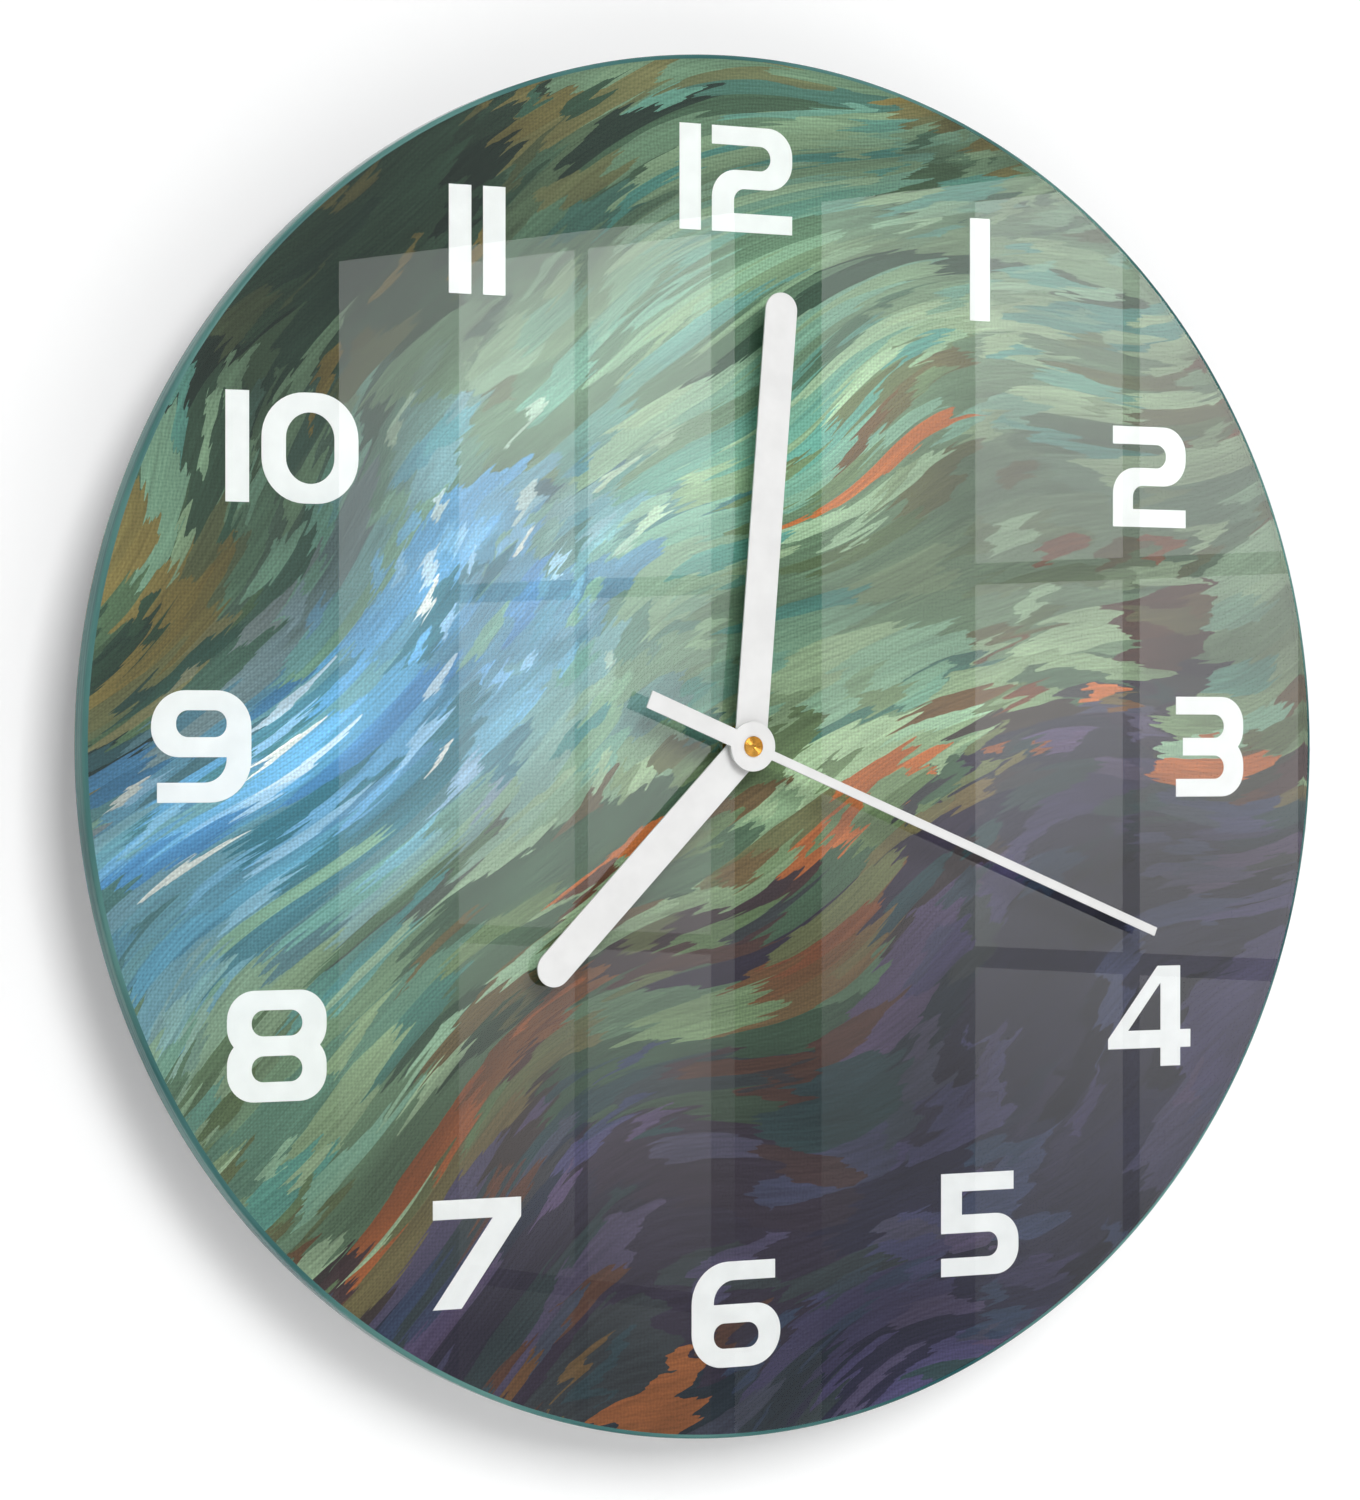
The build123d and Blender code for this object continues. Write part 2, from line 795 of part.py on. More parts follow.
def core_slot():
    """Slot through the bobbin for the flat iron core."""
    left, right = coil_span()
    middle = Pos((left + right) / 2, coil_height, coil_depth)
    return middle * Box(right - left, slot_width, slot_depth)


def coil_bobbin():
    left, right = coil_span()
    slot = core_slot()
    bobbin = along_coil(bobbin_tube_radius, slot, left, right)
    bobbin += along_coil(bobbin_flange_radius, slot, left, left + bobbin_flange_thickness)
    return bobbin + along_coil(bobbin_flange_radius, slot, right - bobbin_flange_thickness, right)


def coil_winding():
    left, right = coil_span()
    start = left + bobbin_flange_thickness + seat_clearance
    end = right - bobbin_flange_thickness - seat_clearance
    core = Rot(0, 90, 0) * extrude(Circle(bobbin_tube_radius + seat_clearance), end - start)
    return along_coil(winding_radius, Pos(start, coil_height, coil_depth) * core, start, end)


def coil_core():
    length = stator_right - stator_left + stator_bar_width
    middle = (stator_left + stator_right) / 2
    sheet = Pos(middle, coil_height) * Rectangle(length, coil_core_width)
    for place in stator_post_places:
        sheet -= Pos(*place) * Circle(train_screw_radius + seat_clearance)
    return Pos(0, 0, coil_core_back) * extrude(sheet, coil_core_thickness)


# Circuit board
def circuit_board():
    length = 2 * (inner_half - board_end_gap)
    height = 2 * (inner_high - board_edge_gap - coil_height)
    sheet = Pos(0, coil_height) * Rectangle(length, height)
    for place in stator_post_places:
        sheet -= Pos(*place) * Circle(stator_post_radius + board_hole_clearance)
    return Pos(0, 0, board_back) * extrude(sheet, board_thickness)


def quartz_crystal():
    can = Rot(0, 90, 0) * extrude(Circle(crystal_radius), crystal_length)
    left = contact_outer - contact_tab_length - crystal_tab_gap - crystal_length
    return Pos(left, coil_height, board_back - crystal_radius - solder_gap) * can


def chip_blob():
    dome = chamfer(disc(chip_radius, -chip_height, 0).edges().sort_by(Axis.Z)[0], chip_height / 2)
    return Pos(chip_place, coil_height, board_back) * dome


# Movement case and plates
def screw(place, radius, head_radius, head_height, seat, depth):
    """Cylinder-head screw with its head behind the seat and its shank running forward from it."""
    shank = disc(radius, seat, seat + depth)
    return at(place, shank + disc(head_radius, seat - head_height, seat))


def case_outline(inset=0):
    """Outline of the movement case, or one drawn in from it all round."""
    outline = RectangleRounded(case_width - 2 * inset, case_height - 2 * inset, case_corner_radius)
    return Pos(0, case_middle) * outline


def movement_case():
    shell = Pos(0, 0, case_back) * extrude(case_outline(), case_front - case_back)
    shell -= block(-case_width, case_width, partition_low, case_height, case_back, cover_inner)
    shell -= block(-inner_half, inner_half, partition_high, inner_high, case_back, case_inner)
    shell -= block(-inner_half, inner_half, bay_low, partition_low, case_back, case_inner)
    for side in (-1, 1):
        edges = sorted((side * inner_half, side * (contact_inner - contact_inset)))
        strip_back = board_back - contact_strip_width - contact_inset
        shell -= block(edges[0], edges[1], partition_low, partition_high, strip_back, case_inner)
    for place in post_places:
        shell += at(place, disc(post_radius, middle_plate_front, case_inner))
        hole_front = middle_plate_front + train_screw_depth
        shell -= at(place, disc(train_screw_radius + seat_clearance, middle_plate_front, hole_front))
    for place in stator_post_places:
        shell += at(place, disc(stator_post_radius, stator_front, case_inner))
        shell += at(place, disc(stator_post_radius + board_step, board_front, case_inner))
        hole_front = stator_front + train_screw_depth
        shell -= at(place, disc(train_screw_radius + seat_clearance, stator_front, hole_front))
    for place in cover_post_places:
        shell += at(place, disc(cover_post_radius, cover_inner, case_inner))
        hole_front = cover_inner + cover_screw_depth
        shell -= at(place, disc(cover_screw_radius + seat_clearance, cover_inner, hole_front))
    pivot_front = case_inner + pivot_hole_depth
    shell -= at(third_place, disc(third_arbor_radius + pivot_clearance, case_inner, pivot_front))
    shell -= at(minute_place, disc(minute_arbor_radius + pivot_clearance, case_inner, pivot_front))
    return shell - disc(bush_radius + seat_clearance, case_inner, case_front)


def back_cover():
    sheet = case_outline() - rounded_box(-case_width, -case_height, case_width, partition_low, SHARP)
    sheet -= Pos(*minute_place) * Circle(knob_radius + knob_gap)
    for place in cover_post_places:
        sheet -= Pos(*place) * Circle(cover_screw_radius + seat_clearance)
    return Pos(0, 0, case_back) * extrude(sheet, cover_thickness)


def train_plate_outline():
    """Outline shared by the middle plate and the bridge, with the screw holes at their pillars."""
    half_width = post_place + post_radius
    low = lower_post_height - post_radius
    high = upper_post_height + post_radius
    sheet = rounded_box(-half_width, low, half_width, high, (post_radius,) * 4)
    sheet += rounded_box(
        rotor_place[0] - stator_rim_radius,
        low,
        rotor_place[0] + stator_rim_radius,
        rotor_place[1] + plate_top_margin,
        (post_radius,) * 4,
    )
    for place in post_places:
        sheet -= Pos(*place) * Circle(train_screw_radius + seat_clearance)
    return sheet


def middle_plate():
    sheet = train_plate_outline()
    sheet -= Circle(seconds_arbor_radius + arbor_hole_clearance)
    sheet -= Pos(*third_place) * Circle(third_arbor_radius + arbor_hole_clearance)
    sheet -= Pos(*minute_place) * Circle(minute_arbor_radius + arbor_hole_clearance)
    sheet -= Pos(*intermediate_place) * Circle(intermediate_arbor_radius + pivot_clearance)
    sheet -= Pos(*rotor_place) * Circle(rotor_arbor_radius + pivot_clearance)
    return Pos(0, 0, middle_plate_back) * extrude(sheet, plate_thickness)


def train_bridge():
    pivots = [
        (centre_place, seconds_arbor_radius),
        (third_place, third_arbor_radius),
        (minute_place, minute_arbor_radius),
        (intermediate_place, intermediate_arbor_radius),
        (rotor_place, rotor_arbor_radius),
    ]
    sheet = train_plate_outline()
    for place, radius in pivots:
        sheet -= Pos(*place) * Circle(radius + pivot_clearance)
    bridge = Pos(0, 0, bridge_back) * extrude(sheet, plate_thickness)
    for place in post_places:
        pillar = ring(post_radius, train_screw_radius + seat_clearance, bridge_front, middle_plate_back)
        bridge += at(place, pillar)
    return bridge


def bridge_screws():
    depth = middle_plate_front - bridge_back + train_screw_depth
    return [
        screw(place, train_screw_radius, train_screw_head_radius, train_screw_head, bridge_back, depth)
        for place in post_places
    ]


def stator_screws():
    depth = stator_front - coil_core_back + train_screw_depth
    return [
        screw(place, train_screw_radius, train_screw_head_radius, train_screw_head, coil_core_back, depth)
        for place in stator_post_places
    ]


def cover_screws():
    depth = cover_inner - hanger_back + cover_screw_depth
    return [
        screw(place, cover_screw_radius, cover_screw_head_radius, cover_screw_head, hanger_back, depth)
        for place in cover_post_places
    ]


# Battery and contacts
def battery():
    body = Rot(0, 90, 0) * extrude(Circle(battery_radius), battery_body_length)
    nub = Rot(0, 90, 0) * extrude(Circle(battery_nub_radius), battery_nub_length)
    cell = body + Pos(battery_body_length, 0, 0) * nub
    return Pos(battery_tail, battery_height, battery_depth) * cell


def wall_contact(side):
    """Contact plate at one end of the bay, with a strip up the wall and a tab on the circuit board."""
    half_plate = contact_plate_width / 2
    outer, inner = side * contact_outer, side * contact_inner
    left, right = sorted((outer, inner))
    strip_high = coil_height + contact_tab_width / 2
    strip_back = board_back - contact_strip_width
    plate_low = battery_height - half_plate
    plate_high = battery_height + half_plate
    plate_back = battery_depth - half_plate
    contact = block(left, right, plate_low, plate_high, plate_back, board_back)
    contact += block(left, right, battery_height, strip_high, strip_back, board_back)
    tab_left, tab_right = sorted((outer, outer - side * contact_tab_length))
    tab_low = strip_high - contact_tab_width
    tab_back = board_back - contact_thickness
    return contact + block(tab_left, tab_right, tab_low, strip_high, tab_back, board_back)


def positive_contact():
    return wall_contact(1)


def negative_contact():
    spring = Rot(0, 90, 0) * Cone(spring_base_radius, spring_tip_radius, spring_reach)
    middle = -contact_inner + spring_reach / 2
    return wall_contact(-1) + Pos(middle, battery_height, battery_depth) * spring


# Hanging
def hanger_plate():
    half_width = cover_post_place + hanger_margin
    low = cover_post_height - hanger_margin
    shoulder = cover_post_height + hanger_margin
    top = hanger_hole_height + hanger_head_half_width
    corners = [
        (-half_width, low),
        (half_width, low),
        (half_width, shoulder),
        (hanger_head_half_width, top),
        (-hanger_head_half_width, top),
        (-half_width, shoulder),
    ]
    sheet = make_face(FilletPolyline(*corners, radius=hanger_corner_radius, close=True))
    sheet -= Pos(0, hanger_hole_height) * Circle(hanger_hole_radius)
    for place in cover_post_places:
        sheet -= Pos(*place) * Circle(cover_screw_radius + seat_clearance)
    return Pos(0, 0, hanger_back) * extrude(sheet, hanger_thickness)


def wall_spacers():
    step = 360 / spacer_count
    ring_radius = dial_diameter / 2 - spacer_edge_gap
    places = [polar((0, 0), ring_radius, step / 2 + step * index) for index in range(spacer_count)]
    return [at(place, disc(spacer_radius, wall_plane, 0)) for place in places]


PIECES = [
    glass_dial,
    printed_film,
    hour_numerals,
    dial_gasket,
    threaded_bush,
    front_washer,
    ring_nut,
    hour_hand,
    minute_hand,
    seconds_hand,
    seconds_boss,
    hour_wheel,
    cannon_pinion,
    centre_wheel,
    clutch_spring,
    seconds_arbor,
    seconds_wheel,
    third_wheel,
    intermediate_wheel,
    minute_wheel,
    setting_knob,
    rotor_pinion,
    rotor_magnet,
    stator_plate,
    coil_bobbin,
    coil_winding,
    coil_core,
    circuit_board,
    quartz_crystal,
    chip_blob,
    movement_case,
    back_cover,
    middle_plate,
    train_bridge,
    bridge_screws,
    stator_screws,
    cover_screws,
    battery,
    positive_contact,
    negative_contact,
    hanger_plate,
    wall_spacers,
]

# The finished clock hangs upright: its front faces -Y, up the dial is +Z, and the origin is the
# middle of the hanger hole
upright = Pos(0, (hanger_back + case_back) / 2, -hanger_hole_height) * Rot(90, 0, 0)

os.makedirs("parts", exist_ok=True)
for make_piece in PIECES:
    made = make_piece()
    solids = made if isinstance(made, list) else [made]
    placed = [upright * solid for solid in solids]
    shape = Compound(children=placed) if len(placed) > 1 else placed[0]
    export_step(shape, f"parts/{make_piece.__name__}.step")
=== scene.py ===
import logging
import math
from collections.abc import Iterable
from dataclasses import dataclass
from enum import Enum
from functools import cached_property

import bmesh
import bpy
import numpy as np
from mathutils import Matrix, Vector


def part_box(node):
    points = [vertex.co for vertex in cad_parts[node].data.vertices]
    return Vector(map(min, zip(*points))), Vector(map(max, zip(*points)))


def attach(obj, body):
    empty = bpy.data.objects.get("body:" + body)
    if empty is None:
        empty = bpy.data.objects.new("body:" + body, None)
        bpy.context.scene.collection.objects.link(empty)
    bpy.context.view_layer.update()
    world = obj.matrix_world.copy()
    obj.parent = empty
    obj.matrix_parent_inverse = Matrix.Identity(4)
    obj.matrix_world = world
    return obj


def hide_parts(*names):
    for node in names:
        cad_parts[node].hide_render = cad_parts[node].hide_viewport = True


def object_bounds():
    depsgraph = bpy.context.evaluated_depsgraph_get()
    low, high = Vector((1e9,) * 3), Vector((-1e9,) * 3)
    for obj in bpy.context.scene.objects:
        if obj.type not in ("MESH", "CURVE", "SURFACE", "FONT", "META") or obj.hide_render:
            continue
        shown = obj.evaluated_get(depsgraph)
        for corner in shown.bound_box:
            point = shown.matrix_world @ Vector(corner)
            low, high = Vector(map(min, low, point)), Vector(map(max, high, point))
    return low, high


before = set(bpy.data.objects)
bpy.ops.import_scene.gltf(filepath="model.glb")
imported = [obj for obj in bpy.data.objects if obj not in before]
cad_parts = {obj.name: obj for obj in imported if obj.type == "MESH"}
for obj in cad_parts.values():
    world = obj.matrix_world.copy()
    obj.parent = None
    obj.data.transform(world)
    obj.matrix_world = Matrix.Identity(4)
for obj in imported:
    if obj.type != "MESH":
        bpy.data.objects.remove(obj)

# Round glass wall clock on a white wall. Lengths are metres in the clock's own frame: the front of
# the dial faces -Y, up is +Z, and the origin is the middle of the nail hole. Sizes written in
# millimetres are turned to metres by MM.

Pair = tuple[float, float]
Triple = tuple[float, float, float]
Colour = tuple[float, float, float, float]
Counts = tuple[int, int]
Rows = tuple[float, float, int]
Stops = Iterable[tuple[float, str]]
Socket = bpy.types.NodeSocket

LOG = logging.getLogger("glass_wall_clock")
CAD_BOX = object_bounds()
MM = 0.001
FULL_TURN = 2 * math.pi
RIGHT: Triple = (1.0, 0.0, 0.0)
TO_FRONT: Triple = (0.0, -1.0, 0.0)
TO_WALL: Triple = (0.0, 1.0, 0.0)
WHITE: Colour = (1.0, 1.0, 1.0, 1.0)
UNIT: Pair = (0.0, 1.0)
GLASS_IOR = 1.52
GRAIN_SPAN: Pair = (0.2, 0.8)  # Where most of a grain's noise lies.
WAVE_RADIANS = 20  # Phase that a wave texture of scale 1 gains over one unit.
SHARP_TURN = 38.0  # Edges that turn by more than these degrees stay sharp.
MERGE_GAP = 1e-7  # Points that are closer than this become one.


class Body(Enum):
    """Moving groups of the clock."""

    DIAL = "dial"
    BATTERY = "battery"
    SECONDS = "seconds"


# Finishes


def linear(hex_colour: str) -> Colour:
    """Linear colour of an sRGB hex value with a hash sign, and an alpha of 1."""
    code = np.array([*bytes.fromhex(hex_colour[1:])]) / 255
    return (*np.where(code <= 0.04045, code / 12.92, ((code + 0.055) / 1.055) ** 2.4).tolist(), 1.0)


def per_metre(size_mm: float) -> float:
    """Pattern scale whose features are about so many millimetres apart."""
    return 1 / (size_mm * MM)


@dataclass(frozen=True)
class Finish:
    """A named procedural material, with the ways to add its shader nodes."""

    name: str

    @cached_property
    def material(self) -> bpy.types.Material:
        """Start the material.

        Returns:
            A new material without nodes.
        """
        material = bpy.data.materials.new(self.name)
        material.use_nodes = True
        material.node_tree.nodes.clear()
        return material

    @cached_property
    def drawn(self) -> bpy.types.Material:
        """The material with all its nodes."""
        self.draw()
        return self.material

    @cached_property
    def place(self) -> Socket:
        """Coordinates of the piece itself."""
        return self.add("TexCoord")["Object"]

    def draw(self) -> None:
        """Add the finish's nodes to its material."""
        raise NotImplementedError

    def add(
        self, kind: str, inputs: dict | None = None, **settings: str | int
    ) -> bpy.types.NodeOutputs:
        """Add one shader node with its settings and links.

        Args:
            kind: Node type without its common prefix.
            inputs: Sockets by name or number, each with a plain value or an output to link.
            settings: Properties to set on the node.

        Returns:
            The outputs of the new node.
        """
        tree = self.material.node_tree
        node = tree.nodes.new("ShaderNode" + kind)
        for key, value in settings.items():
            setattr(node, key, value)
        for key, value in (inputs or {}).items():
            if isinstance(value, Socket):
                tree.links.new(value, node.inputs[key])
            else:
                node.inputs[key].default_value = value
        return node.outputs

    def noise(self, place: Socket, scale: float, detail: float, space: str = "3D") -> Socket:
        """Noise texture, drawn over a plane where the space is 2D."""
        inputs = {"Vector": place, "Scale": scale, "Detail": detail}
        return self.add("TexNoise", inputs, noise_dimensions=space)[0]

    def mapped(self, place: Socket, kind: str = "POINT", **inputs: Triple) -> Socket:
        """Coordinates moved, turned and scaled; the kind TEXTURE undoes that."""
        return self.add("Mapping", {"Vector": place, **inputs}, vector_type=kind)[0]

    def remap(self, value: Socket, source: Pair, target: Pair, curve: str = "LINEAR") -> Socket:
        """Value carried from one range to another."""
        inputs = dict(enumerate((value, *source, *target)))
        return self.add("MapRange", inputs, interpolation_type=curve)[0]

    def scalar(self, operation: str, *values: Socket | float) -> Socket:
        """Result of an operation on numbers."""
        return self.add("Math", dict(enumerate(values)), operation=operation)[0]

    def vector(self, operation: str, *values: Socket | Triple) -> Socket:
        """Result of an operation on vectors or colours; LENGTH gives a number."""
        outputs = self.add("VectorMath", dict(enumerate(values)), operation=operation)
        return outputs["Value" if operation == "LENGTH" else "Vector"]

    def coordinate(self, place: Socket, axis: str) -> Socket:
        """One coordinate of a vector."""
        return self.add("SeparateXYZ", {0: place})[axis]

    def ramp(self, share: Socket, stops: Stops, curve: str = "LINEAR") -> Socket:
        """Colour ramp.

        Args:
            share: Place on the ramp, from 0 to 1.
            stops: Places on the ramp with their colours.
            curve: How the colour runs from stop to stop.

        Returns:
            The colour at the share's place.
        """
        colour = self.add("ValToRGB", {0: share})[0]
        steps = colour.node.color_ramp
        steps.interpolation = curve
        for index, (place, shade) in enumerate(stops):
            step = steps.elements[index] if index < 2 else steps.elements.new(place)
            step.position = place
            step.color = linear(shade)
        return colour

    def blend(self, share: Socket, first: Socket | Colour, second: Socket | Colour) -> Socket:
        """Colour between a first and a second one."""
        return self.add("Mix", {0: share, 6: first, 7: second}, data_type="RGBA")[2]

    def ray(self, kind: str) -> Socket:
        """1 for rays of a kind and 0 for others."""
        return self.add("LightPath")[f"Is {kind} Ray"]

    def behind(self) -> Socket:
        """1 where a face is seen from behind and 0 elsewhere."""
        return self.add("NewGeometry")["Backfacing"]

    def bump(self, height: Socket, relief: Pair, **under: Socket) -> Socket:
        """Normal of a surface raised with a strength and a height in millimetres."""
        raised = {"Strength": relief[0], "Distance": relief[1] * MM, "Height": height, **under}
        return self.add("Bump", raised)[0]

    def show(self, surface: Socket) -> None:
        """Send a shader to the material's output."""
        self.add("OutputMaterial", {"Surface": surface})

    def show_through(self, clear: Socket, surface: Socket, tint: Colour = WHITE) -> None:
        """Show a surface that lets rays pass, tinted, as far as `clear` says."""
        passed = self.add("BsdfTransparent", {"Color": tint})[0]
        self.show(self.add("MixShader", {0: clear, 1: surface, 2: passed})[0])


@dataclass(frozen=True)
class FloatGlass(Finish):
    """Polished float glass: clear, mirror smooth, with the faint green of its iron."""

    tint: str = "#FAFDFC"

    def draw(self) -> None:
        """Clear glass that lets the light of the lamps through to the print."""
        tint = linear(self.tint)
        clear = {"Base Color": tint, "Roughness": 0.0, "IOR": GLASS_IOR, "Transmission Weight": 1.0}
        self.show_through(self.ray("Shadow"), self.add("BsdfPrincipled", clear)[0], tint)


@dataclass(frozen=True)
class PolishedEdge(Finish):
    """Polished edge of float glass: deep teal, because light runs a long way through it."""

    light: str = "#5E8A84"
    deep: str = "#235356"
    span: Pair = (0.55, 1.0)
    streak_mm: float = 0.9
    streak_pull: float = 0.02
    streak_share: float = 0.6
    sway_mm: float = 45.0
    roughness: float = 0.1
    sheen: Pair = (0.05, 0.5)

    def draw(self) -> None:
        """Teal edge with fine streaks along the rim; from inside the glass it mirrors the print."""
        slow = self.noise(self.place, per_metre(self.sway_mm), 1.0)
        drawn = self.mapped(self.place, Scale=(self.streak_pull, 1.0, self.streak_pull))
        fine = self.noise(drawn, per_metre(self.streak_mm), 2.0)
        both = self.scalar("MULTIPLY_ADD", fine, self.streak_share, slow)
        colour = self.ramp(both, zip(self.span, (self.deep, self.light)))
        inside = self.behind()
        teal = {
            "Base Color": self.blend(inside, colour, WHITE),
            "Transmission Weight": inside,
            "Specular IOR Level": self.remap(inside, UNIT, self.sheen),
            "Roughness": self.roughness,
            "IOR": GLASS_IOR,
        }
        self.show_through(self.ray("Shadow"), self.add("BsdfPrincipled", teal)[0])


@dataclass(frozen=True)
class PrintedPicture(Finish):
    """Picture printed on film: flowing brushwork on canvas in muted greens, blues and ochres."""

    radius: float = 150 * MM
    centre_height: float = -36.0154 * MM
    bend_scale: float = 0.85
    bend_reach: Triple = (0.9, 0.9, 0.0)
    flow_turn: float = -34.0
    flow_shift: Triple = (-0.1, -0.45, 0.0)
    hair_scale: Triple = (5.0, 75.0, 1.0)
    fray_reach: Triple = (0.16, 0.022, 0.0)
    wash_scale: Triple = (1.2, 4.0, 1.0)
    wash_span: Pair = (0.3, 0.7)
    wash_level: Pair = (0.55, 1.4)
    rim_fade: Pair = (0.45, 1.05)
    rim_level: Pair = (1.0, 0.7)
    bristle_mm: float = 0.55
    bristle_stretch: float = 28.0
    bristle_span: Pair = (0.25, 0.75)
    bristle_level: Pair = (0.80, 1.20)
    thread_mm: float = 0.8
    thread_share: float = 0.3
    slub_mm: float = 0.7
    canvas_span: Pair = (0.4, 1.2)
    canvas_level: Pair = (0.78, 1.16)
    back_facing: float = 0.5
    vinyl_mm: float = 3.0
    vinyl: Stops = ((0.3, "#606365"), (0.7, "#686B6D"))
    roughness: float = 0.6
    sheen: float = 0.2

    def draw(self) -> None:
        """Layers of strokes, each stroke one colour, over a canvas weave; plain vinyl behind."""
        unit = 1 / self.radius
        picture = self.mapped(
            self.place,
            Location=(0.0, -self.centre_height * unit, 0.0),
            Rotation=(-math.pi / 2, 0.0, 0.0),
            Scale=(unit, unit, unit),
        )
        bend = self.noise(picture, self.bend_scale, 1.0, "2D").node.outputs["Color"]
        bent = self.vector("MULTIPLY_ADD", bend, self.bend_reach, picture)
        turn = (0.0, 0.0, math.radians(self.flow_turn))
        flow = self.mapped(bent, Location=self.flow_shift, Rotation=turn)
        hairs = self.mapped(flow, Scale=self.hair_scale)
        fray = self.noise(hairs, 1.0, 3.0, "2D").node.outputs["Color"]
        frayed = self.vector("MULTIPLY_ADD", fray, self.fray_reach, flow)
        colour = None
        for stroke in BRUSHES:
            colour = stroke.paint(self, frayed, colour)
        for level in self.levels(flow, picture):
            colour = self.vector("MULTIPLY", colour, level)
        facing = self.coordinate(self.add("TexCoord")["Normal"], "Y")
        behind = self.scalar("GREATER_THAN", facing, self.back_facing)
        backing = self.ramp(self.noise(self.place, per_metre(self.vinyl_mm), 4.0), self.vinyl)
        both = self.blend(behind, colour, backing)
        sheet = {"Base Color": both, "Roughness": self.roughness, "Specular IOR Level": self.sheen}
        self.show(self.add("BsdfPrincipled", sheet)[0])

    def levels(self, flow: Socket, picture: Socket) -> tuple[Socket, ...]:
        """Levels that shade the strokes.

        Broad washes run along the flow, with a slow darkening to the rim. Bristle streaks are fine
        and long. The canvas has uneven threads and slubs, coarser than real so that they show.

        Args:
            flow: Coordinates along and across the strokes, in dial radii.
            picture: Coordinates on the dial, in its radii.

        Returns:
            Levels of the washes, the bristles and the canvas.
        """
        wash = self.noise(self.mapped(flow, Scale=self.wash_scale), 1.0, 3.0, "2D")
        wash = self.remap(wash, self.wash_span, self.wash_level)
        far = self.vector("LENGTH", picture)
        rim = self.remap(far, self.rim_fade, self.rim_level, "SMOOTHSTEP")
        across = self.radius / (self.bristle_mm * MM)
        streak = self.mapped(flow, Scale=(across / self.bristle_stretch, across, 1.0))
        streak = self.noise(streak, 1.0, 2.0, "2D")
        streak = self.remap(streak, self.bristle_span, self.bristle_level)
        scale = FULL_TURN / WAVE_RADIANS * per_metre(self.thread_mm)
        weave = {"Vector": self.place, "Scale": scale, **THREAD_WAVER}
        canvas = self.noise(self.place, per_metre(self.slub_mm), 2.0)
        for axis in ("X", "Z"):
            thread = self.add("TexWave", weave, bands_direction=axis)["Fac"]
            canvas = self.scalar("MULTIPLY_ADD", thread, self.thread_share, canvas)
        canvas = self.remap(canvas, self.canvas_span, self.canvas_level)
        return self.scalar("MULTIPLY", wash, rim), streak, canvas


@dataclass(frozen=True)
class Brush:
    """One layer of brush strokes: each stroke is a stretched cell that takes one colour."""

    length_mm: float
    width_mm: float
    seed: float
    lean: float
    cover: float
    stops: Stops
    glow: Stops
    seed_ratio: float = 1.7
    glow_place: Pair = (0.22, 0.02)
    glow_reach: Pair = (0.85, 0.42)
    glow_fade: Pair = (1.0, 0.25)
    glow_level: Pair = (0.0, 0.95)
    wander_scale: float = 1.5
    band_start: float = 0.07
    across_share: float = 0.36
    wander_share: float = 0.8
    chance_share: float = 0.22

    def paint(self, net: PrintedPicture, flow: Socket, under: Socket | None) -> Socket:
        """Paint this layer over what is there.

        A stroke's colour follows its middle's distance across the flow, with a slow wander and its
        own random step; near the glow it takes a sky colour.

        Args:
            net: Picture that the nodes go into.
            flow: Coordinates along and across the strokes, in dial radii.
            under: Colour below this layer, or None for the first layer.

        Returns:
            The colour with this layer painted on it.
        """
        scale = (*(net.radius / (size * MM) for size in (self.length_mm, self.width_mm)), 1.0)
        turn = (0.0, 0.0, math.radians(self.lean))
        spread = {"Location": (self.seed, self.seed * self.seed_ratio, 0.0), "Scale": scale}
        cells = net.mapped(net.mapped(flow, Rotation=turn), **spread)
        even = {"Vector": cells, "Scale": 1.0, "Randomness": 1.0}
        cell = net.add("TexVoronoi", even, voronoi_dimensions="2D")
        middle = net.mapped(cell["Position"], "TEXTURE", **spread)
        middle = net.mapped(middle, "TEXTURE", Rotation=turn)
        chance = net.add("SeparateColor", {0: cell["Color"]})
        band = self.band_start
        for part, share in (
            (net.coordinate(middle, "Y"), self.across_share),
            (net.noise(middle, self.wander_scale, 1.0, "2D"), self.wander_share),
            (chance["Red"], self.chance_share),
        ):
            band = net.scalar("MULTIPLY_ADD", part, share, band)
        away = net.vector("SUBTRACT", middle, (*self.glow_place, 0.0))
        far = net.vector("LENGTH", net.vector("DIVIDE", away, (*self.glow_reach, 1.0)))
        near = net.remap(far, self.glow_fade, self.glow_level, "SMOOTHSTEP")
        lit = net.blend(near, net.ramp(band, self.stops), net.ramp(chance["Blue"], self.glow))
        if under is None:
            return lit
        return net.blend(net.scalar("LESS_THAN", chance["Green"], self.cover), under, lit)


